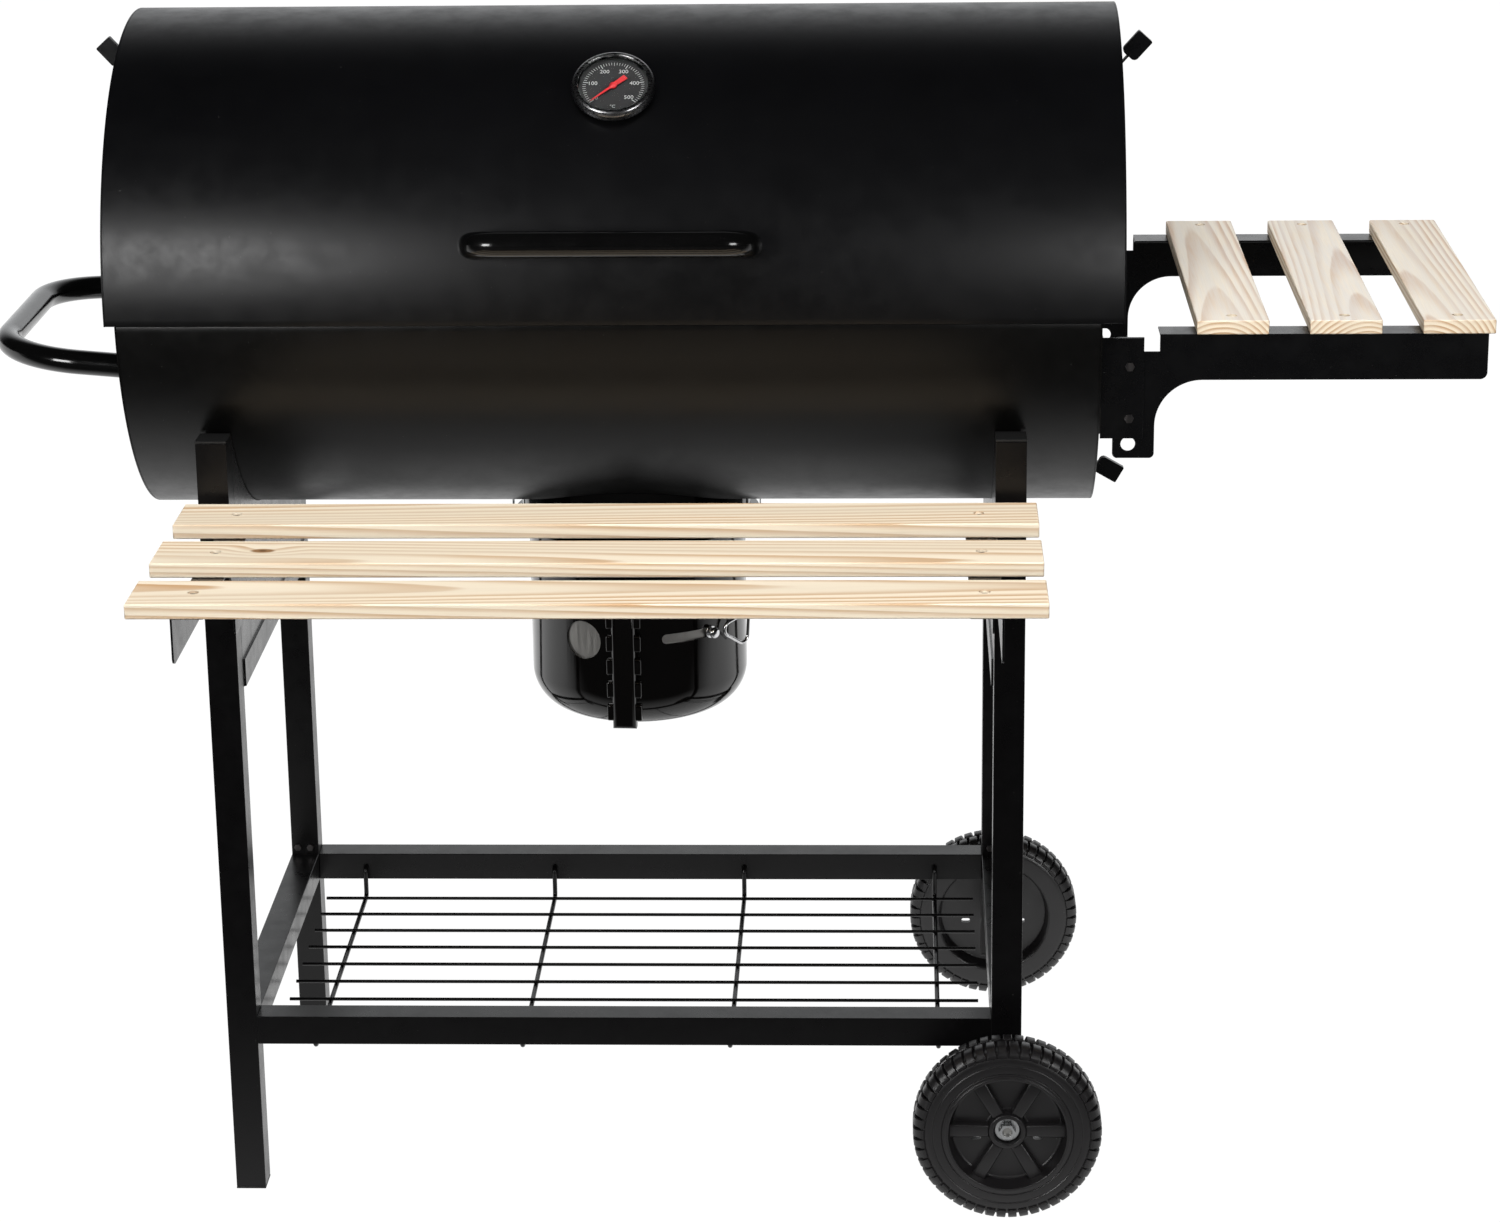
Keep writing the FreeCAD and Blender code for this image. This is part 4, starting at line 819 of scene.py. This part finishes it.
cutter = bmesh.new()
ventWay = potWay(pot["ventAngle"])
bmesh.ops.create_cone(cutter, cap_ends=True, segments=64, radius1=pot["ventRadius"] * mm,
                      radius2=pot["ventRadius"] * mm, depth=40 * mm,
                      matrix=Matrix.Translation(Vector((potAt.x, potAt.y, pot["ventHeight"] * mm))
                                                + ventWay * pot["radius"] * mm)
                      @ ventWay.to_track_quat("Z", "Y").to_matrix().to_4x4())
cutWith(potShell, cutter, 45)
cutter = bmesh.new()
startWay = potWay(pot["slotFrom"])
spots = []
(slotIn, slotOut), (slotLow, slotHigh) = pot["slotReach"], pot["slotRise"]
for reach, height in ((slotIn, slotLow), (slotOut, slotLow), (slotOut, slotHigh), (slotIn, slotHigh)):
    spot = Vector((potAt.x, potAt.y, (pot["ventHeight"] + height) * mm)) + startWay * reach * mm
    spots.append(cutter.verts.new(spot))
face = cutter.faces.new(spots)
bmesh.ops.spin(cutter, geom=[face], cent=(potAt.x, potAt.y, 0), axis=(0, 0, 1),
               angle=math.radians(pot["slotTo"] - pot["slotFrom"]), steps=16)
bmesh.ops.recalc_face_normals(cutter, faces=cutter.faces[:])
cutWith(potShell, cutter, 45)
for angle in (pot["slotFrom"], pot["slotTo"]):
    cutter = bmesh.new()
    way = potWay(angle)
    spot = Vector((potAt.x, potAt.y, (pot["ventHeight"] + pot["knobRise"]) * mm)) + way * pot["radius"] * mm
    endRadius = (slotHigh - slotLow) / 2 * mm
    bmesh.ops.create_cone(cutter, cap_ends=True, segments=32, radius1=endRadius, radius2=endRadius, depth=16 * mm,
                          matrix=Matrix.Translation(spot) @ way.to_track_quat("Z", "Y").to_matrix().to_4x4())
    cutWith(potShell, cutter, 45)

# upright grip: a bar with rounded ends on stepped finger wings
grip = {
    "turn": -3.0,
    "barHalf": 12, "barDepth": (-146, -131), "barHeights": (464, 612),
    "wingHalf": 17.5, "wingDepth": (-142, -133), "wingTall": 17,
    "wings": (472, 496.3, 520.6, 544.9, 569.2, 593.5),
    "footHalf": 9, "footDepth": (-133.5, -110.6), "feet": (500, 596),
}
bm = bmesh.new()
(barFront, barBack), (barFoot, barTop) = grip["barDepth"], grip["barHeights"]
block(bm, (-grip["barHalf"] * mm, barFront * mm, barFoot * mm), (grip["barHalf"] * mm, barBack * mm, barTop * mm))
front = [e for e in bm.edges if max(v.co.y for v in e.verts) < (barFront + 1) * mm]
bmesh.ops.bevel(bm, geom=front, offset=5.5 * mm, offset_type="OFFSET", segments=6, profile=0.5,
                affect="EDGES", clamp_overlap=True, material=-1)
for z in grip["wings"]:
    block(bm, (-grip["wingHalf"] * mm, grip["wingDepth"][0] * mm, z * mm),
          (grip["wingHalf"] * mm, grip["wingDepth"][1] * mm, (z + grip["wingTall"]) * mm), 1.6 * mm, 3)
for z in grip["feet"]:
    block(bm, (-grip["footHalf"] * mm, grip["footDepth"][0] * mm, (z - 8) * mm),
          (grip["footHalf"] * mm, grip["footDepth"][1] * mm, (z + 8) * mm), 1 * mm, 2)
bmesh.ops.rotate(bm, cent=(0, 0, 0), verts=bm.verts[:],
                 matrix=Matrix.Rotation(math.radians(grip["turn"]), 3, "Z"))
bmesh.ops.translate(bm, vec=(potAt.x, potAt.y, 0), verts=bm.verts[:])
addPiece("pot_grip_moulded", bm, blackEnamel, "pot", ["pot_grip"])

# vent knob with its wire loop
knobWay = potWay(pot["knobAngle"])
knobSpot = Vector((potAt.x, potAt.y, (pot["ventHeight"] + pot["knobRise"]) * mm)) + knobWay * pot["radius"] * mm
side = Vector((-knobWay.y, knobWay.x, 0))
bm = turned([(0.1 * mm, -3 * mm), (3 * mm, -3 * mm), (3 * mm, 0.5 * mm), (6.6 * mm, 0.5 * mm),
             (6.6 * mm, 1.8 * mm, 0.5 * mm), (3.4 * mm, 1.9 * mm), (3.2 * mm, 5.4 * mm),
             (5.8 * mm, 5.6 * mm, 0.6 * mm), (5.4 * mm, 9.2 * mm, 1.4 * mm), (0.1 * mm, 9.9 * mm)],
            knobSpot, knobWay, 40)
eye = knobSpot + knobWay * 3.6 * mm
loop = [eye + side * a * mm + Vector((0, 0, b * mm)) for a, b in ((5.2, 2), (50, 12), (47, -26))]
ring = bentTube(loop, 1.75 * mm, 7.5 * mm, sides=16, bendSteps=12, closed=True)
absorb(bm, ring)
addPiece("vent_knob_and_loop", bm, brightChrome, "vent_ring", ["vent_pull"])
print("ash pot made")


# Wheels.

wheel = {
    "radius": 94.0,
    "halfWidth": 22.0,
    "lugs": 50,            # blocks in each of the two rows
    "lugWidth": 8.7,
    "treadBase": 88.6,
    "grooveHalf": 1.7,
    "spokes": 6,
    "wellRadius": 58.5,
}


def rollWheel(name, node, outward, body):
    centre = middle(node)
    low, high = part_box(node)
    axleY = low.y + wheel["halfWidth"] * mm if outward < 0 else high.y - wheel["halfWidth"] * mm
    hubSpot = Vector((centre.x, axleY, wheel["radius"] * mm))
    w, base, well = wheel["halfWidth"], wheel["treadBase"], wheel["wellRadius"]
    section = [(5.1, -43, 0), (13, -43, 1), (13, -3, 1), (59, -3, 2), (61, -19, 2), (64, -21.2, 1), (80, -21.2, 2),
               (base, -17, 3), (base, -1.2, 0.3), (base - 0.8, 0, 0.2), (base, 1.2, 0.3), (base, 17, 3),
               (80, 20.6, 2), (75.5, 20.6, 0.3), (74.6, 19.8, 0.3), (73.7, 20.6, 0.3), (66.4, 20.6, 0.3),
               (65.6, 19.6, 0.3), (64.8, 20.6, 0.3), (62.4, 20.9, 0.4), (61.6, 21.9, 0.5), (well + 0.6, 21.7, 0.7),
               (well, 19, 1), (well - 3, 3.2, 3), (20, 3, 2.5), (18.4, 14.6, 1.2), (14, 15, 0.8),
               (13.4, 7, 1), (5.1, 7, 0)]
    spots = [(a * mm, -b * mm, c * mm) for a, b, c in section]
    bm = turned(spots, (0, 0, 0), (0, 1, 0), 112)
    made = addPiece(name, bm, mouldedPlastic, body, [node], 32)
    # two small slots go right through beside the hub
    for side in (-1, 1):
        slot = bmesh.new()
        block(slot, (-5 * mm, -12 * mm, -2.6 * mm), (5 * mm, 12 * mm, 2.6 * mm))
        bmesh.ops.translate(slot, vec=(side * 31 * mm, 0, -10.6 * mm), verts=slot.verts[:])
        upright = [e for e in slot.edges if abs((e.verts[0].co - e.verts[1].co).normalized().y) > 0.9]
        bmesh.ops.bevel(slot, geom=upright, offset=2.4 * mm, offset_type="OFFSET", segments=4, profile=0.5,
                        affect="EDGES", clamp_overlap=True, material=-1)
        cutWith(made, slot, 32)
    bm = bmesh.new()
    bm.from_mesh(made.data)

    # spokes: raised channels from hub to rim
    for i in range(wheel["spokes"]):
        spoke = bmesh.new()
        corners = [(18, -6.4), (59.2, -7.6), (59.2, 7.6), (18, 6.4)]
        face = spoke.faces.new([spoke.verts.new((a * mm, -2.5 * mm, b * mm)) for a, b in corners])
        up = bmesh.ops.extrude_face_region(spoke, geom=[face])["geom"]
        bmesh.ops.translate(spoke, vec=(0, -10 * mm, 0), verts=vertsOf(up))
        bmesh.ops.recalc_face_normals(spoke, faces=spoke.faces[:])
        top = min(spoke.faces, key=lambda q: q.calc_center_median().y)
        bmesh.ops.bevel(spoke, geom=list(top.edges), offset=2.6 * mm, offset_type="OFFSET", segments=4,
                        profile=0.5, affect="EDGES", clamp_overlap=True, material=-1)
        bmesh.ops.rotate(spoke, cent=(0, 0, 0), verts=spoke.verts[:],
                         matrix=Matrix.Rotation(math.tau * i / wheel["spokes"], 3, "Y"))
        absorb(bm, spoke)

    # tread blocks fold over each shoulder; the two rows are half a step apart
    for side in (-1, 1):
        lug = bmesh.new()
        r = wheel["radius"]
        groove = wheel["grooveHalf"]
        shape = [(base - 1.5, groove), (r - 0.4, groove), (r, groove + 1), (r, 12.5), (r - 1.8, 16.5),
                 (r - 5, 19.4), (r - 8, w - 0.9), (r - 10.5, w - 0.8), (r - 11.5, w - 2), (base - 3, 14)]
        face = lug.faces.new([lug.verts.new((a * mm, side * b * mm, -wheel["lugWidth"] / 2 * mm))
                              for a, b in shape])
        far = bmesh.ops.extrude_face_region(lug, geom=[face])["geom"]
        bmesh.ops.translate(lug, vec=(0, 0, wheel["lugWidth"] * mm), verts=vertsOf(far))
        bmesh.ops.recalc_face_normals(lug, faces=lug.faces[:])
        crown = [e for e in lug.edges
                 if e.calc_face_angle(0) > 0.9 and min(v.co.x for v in e.verts) > (base - 1) * mm]
        bmesh.ops.bevel(lug, geom=crown, offset=0.6 * mm, offset_type="OFFSET", segments=1, profile=0.5,
                        affect="EDGES", clamp_overlap=True, material=-1)
        step = math.tau / wheel["lugs"]
        if side > 0:
            bmesh.ops.rotate(lug, cent=(0, 0, 0), verts=lug.verts[:],
                             matrix=Matrix.Rotation(step / 2, 3, "Y"))
        one = bpy.data.meshes.new("part")
        lug.to_mesh(one)
        lug.free()
        for i in range(wheel["lugs"]):
            one.transform(Matrix.Rotation(step, 4, "Y"))
            bm.from_mesh(one)
    if outward > 0:
        bmesh.ops.rotate(bm, cent=(0, 0, 0), verts=bm.verts[:], matrix=Matrix.Rotation(math.pi, 3, "Z"))
    bmesh.ops.translate(bm, vec=hubSpot, verts=bm.verts[:])
    mesh = bpy.data.meshes.new(name)
    bm.to_mesh(mesh)
    bm.free()
    mesh.materials.append(mouldedPlastic)
    shadeByAngle(mesh, 32)
    made.data = mesh


rollWheel("wheel_front_moulded", "wheel_front", -1, "front_wheel")
rollWheel("wheel_rear_moulded", "wheel_rear", 1, "rear_wheel")
print("wheels made")


# Boards.

noKnot = (9, 9, 9)  # metres off, where no board is
creamEarly, creamLate = (0.86, 0.75, 0.585), (0.50, 0.275, 0.115)
boards = {
    "front_slat_1": {"pith": (0, 0.055, -0.075), "contrast": 0.62, "gap": 0.0058},
    "front_slat_2": {"pith": (0, -0.030, -0.060), "contrast": 0.58, "gap": 0.0052,
                     "knot": (-0.310, 0.004, 0.007)},
    "front_slat_3": {"pith": (0, 0.012, -0.050), "contrast": 0.66, "gap": 0.0050},
    "side_slat_1": {"pith": (0, 0.010, -0.045), "contrast": 0.75, "gap": 0.0046, "silver": 0.50},
    "side_slat_2": {"pith": (0, -0.020, -0.050), "contrast": 0.70, "gap": 0.0042, "silver": 0.60},
    "side_slat_3": {"pith": (0, 0.026, -0.038), "contrast": 0.75, "gap": 0.0050, "silver": 0.50},
}
for node, board in boards.items():
    wood = pineMaterial("pine_" + node, middle(node), node.startswith("side"), board["pith"], creamEarly,
                        creamLate, board["contrast"], board["gap"], board.get("silver", 0.0),
                        board.get("knot", noKnot))
    dress(node, wood, 0.5, 30, node + "_board")
print("boards made")


# Floor, light and camera.

studio = {
    "cameraPlace": (0.1606, -3.7410, 1.7839),
    "yaw": 0.0381, "pitch": -0.3095, "roll": -0.0125,
    "lens": 94.45, "sensor": 36, "farthest": 200,
    "floorRadius": 40, "floorDrop": 0.0005,
}

floorMesh = bmesh.new()
bmesh.ops.create_circle(floorMesh, cap_ends=True, segments=96, radius=studio["floorRadius"],
                        matrix=Matrix.Translation((0, 0, -studio["floorDrop"])))
mesh = bpy.data.meshes.new("floor")
floorMesh.to_mesh(mesh)
floorMesh.free()
floor = bpy.data.objects.new("floor", mesh)
bpy.context.scene.collection.objects.link(floor)
paper, tree, shader = newMaterial("paper")
# bright behind and under the cart, dim in front of it, and even where the camera looks straight at it
depth = addNode(tree, "ShaderNodeSeparateXYZ", {0: objectPlace(tree)}).outputs["Y"]
shine = spread(tree, depth, -0.7, 0.1, 0.012, 0.95)
straight = calc(tree, "MULTIPLY", tree.nodes.new("ShaderNodeLightPath").outputs["Is Camera Ray"], 1.02)
tree.links.new(calc(tree, "MAXIMUM", shine, straight), shader.inputs["Emission Strength"])
fibres = addNode(tree, "ShaderNodeTexNoise", {"Vector": objectPlace(tree), "Scale": 60.0}).outputs["Fac"]
tree.links.new(blendColours(tree, fibres, (0.028, 0.028, 0.028), (0.032, 0.032, 0.032)),
               shader.inputs["Base Color"])
shader.inputs["Roughness"].default_value = 0.9
shader.inputs["Specular IOR Level"].default_value = 0.0
shader.inputs["Emission Color"].default_value = (1, 1, 1, 1)
mesh.materials.append(paper)

world = bpy.data.worlds.new("studio")
bpy.context.scene.world = world
world.use_nodes = True
tree = world.node_tree
tree.nodes.clear()
direction = tree.nodes.new("ShaderNodeTexCoord").outputs["Generated"]
parts = addNode(tree, "ShaderNodeSeparateXYZ", {0: direction})
level = spread(tree, parts.outputs["Y"], 0.60, 1.0, 0.01, 1.05)
seen = tree.nodes.new("ShaderNodeLightPath").outputs["Is Camera Ray"]
level = calc(tree, "MAXIMUM", level, seen)
background = addNode(tree, "ShaderNodeBackground", {"Color": (0.97, 0.985, 1.0, 1), "Strength": level})
output = tree.nodes.new("ShaderNodeOutputWorld")
tree.links.new(background.outputs[0], output.inputs["Surface"])


def softbox(name, place, target, width, height, power, highlight):
    # a highlight box shows in reflections only, and a fill lights surfaces only
    light = bpy.data.lights.new(name, "AREA")
    light.shape = "RECTANGLE"
    light.size = width
    light.size_y = height
    light.energy = power
    lamp = bpy.data.objects.new(name, light)
    bpy.context.scene.collection.objects.link(lamp)
    lamp.location = place
    lamp.rotation_mode = "QUATERNION"
    lamp.rotation_quaternion = (Vector(place) - Vector(target)).to_track_quat("Z", "Y")
    lamp.visible_glossy = highlight
    lamp.visible_diffuse = not highlight


softbox("leftBox", (-2.35, -3.15, 1.62), (-0.3, 0, 0.9), 1.3, 1.0, 66, True)
softbox("rightBox", (2.6, -3.2, 1.62), (0.1, 0, 0.9), 1.2, 1.0, 42, True)
softbox("topFill", (0.0, -2.0, 4.2), (0, -0.2, 0.7), 3.0, 3.0, 205, False)
softbox("frontFill", (0.2, -4.4, 1.9), (0, 0, 0.8), 3.0, 1.6, 108, False)

cameraData = bpy.data.cameras.new("camera")
camera = bpy.data.objects.new("camera", cameraData)
bpy.context.scene.collection.objects.link(camera)
cameraData.lens = studio["lens"]
cameraData.sensor_width = studio["sensor"]
cameraData.clip_end = studio["farthest"]
yaw, pitch, roll = studio["yaw"], studio["pitch"], studio["roll"]
ahead = Vector((-math.sin(yaw) * math.cos(pitch), math.cos(yaw) * math.cos(pitch), math.sin(pitch)))
right = ahead.cross(Vector((0, 0, 1))).normalized()
up = right.cross(ahead)
rolledRight = right * math.cos(roll) + up * math.sin(roll)
rolledUp = up * math.cos(roll) - right * math.sin(roll)
place = Matrix((rolledRight, rolledUp, -ahead)).transposed().to_4x4()
place.translation = Vector(studio["cameraPlace"])
camera.matrix_world = place
bpy.context.scene.camera = camera
bpy.context.scene.view_settings.view_transform = "Standard"
bpy.context.scene.view_settings.look = "None"
print("studio made")
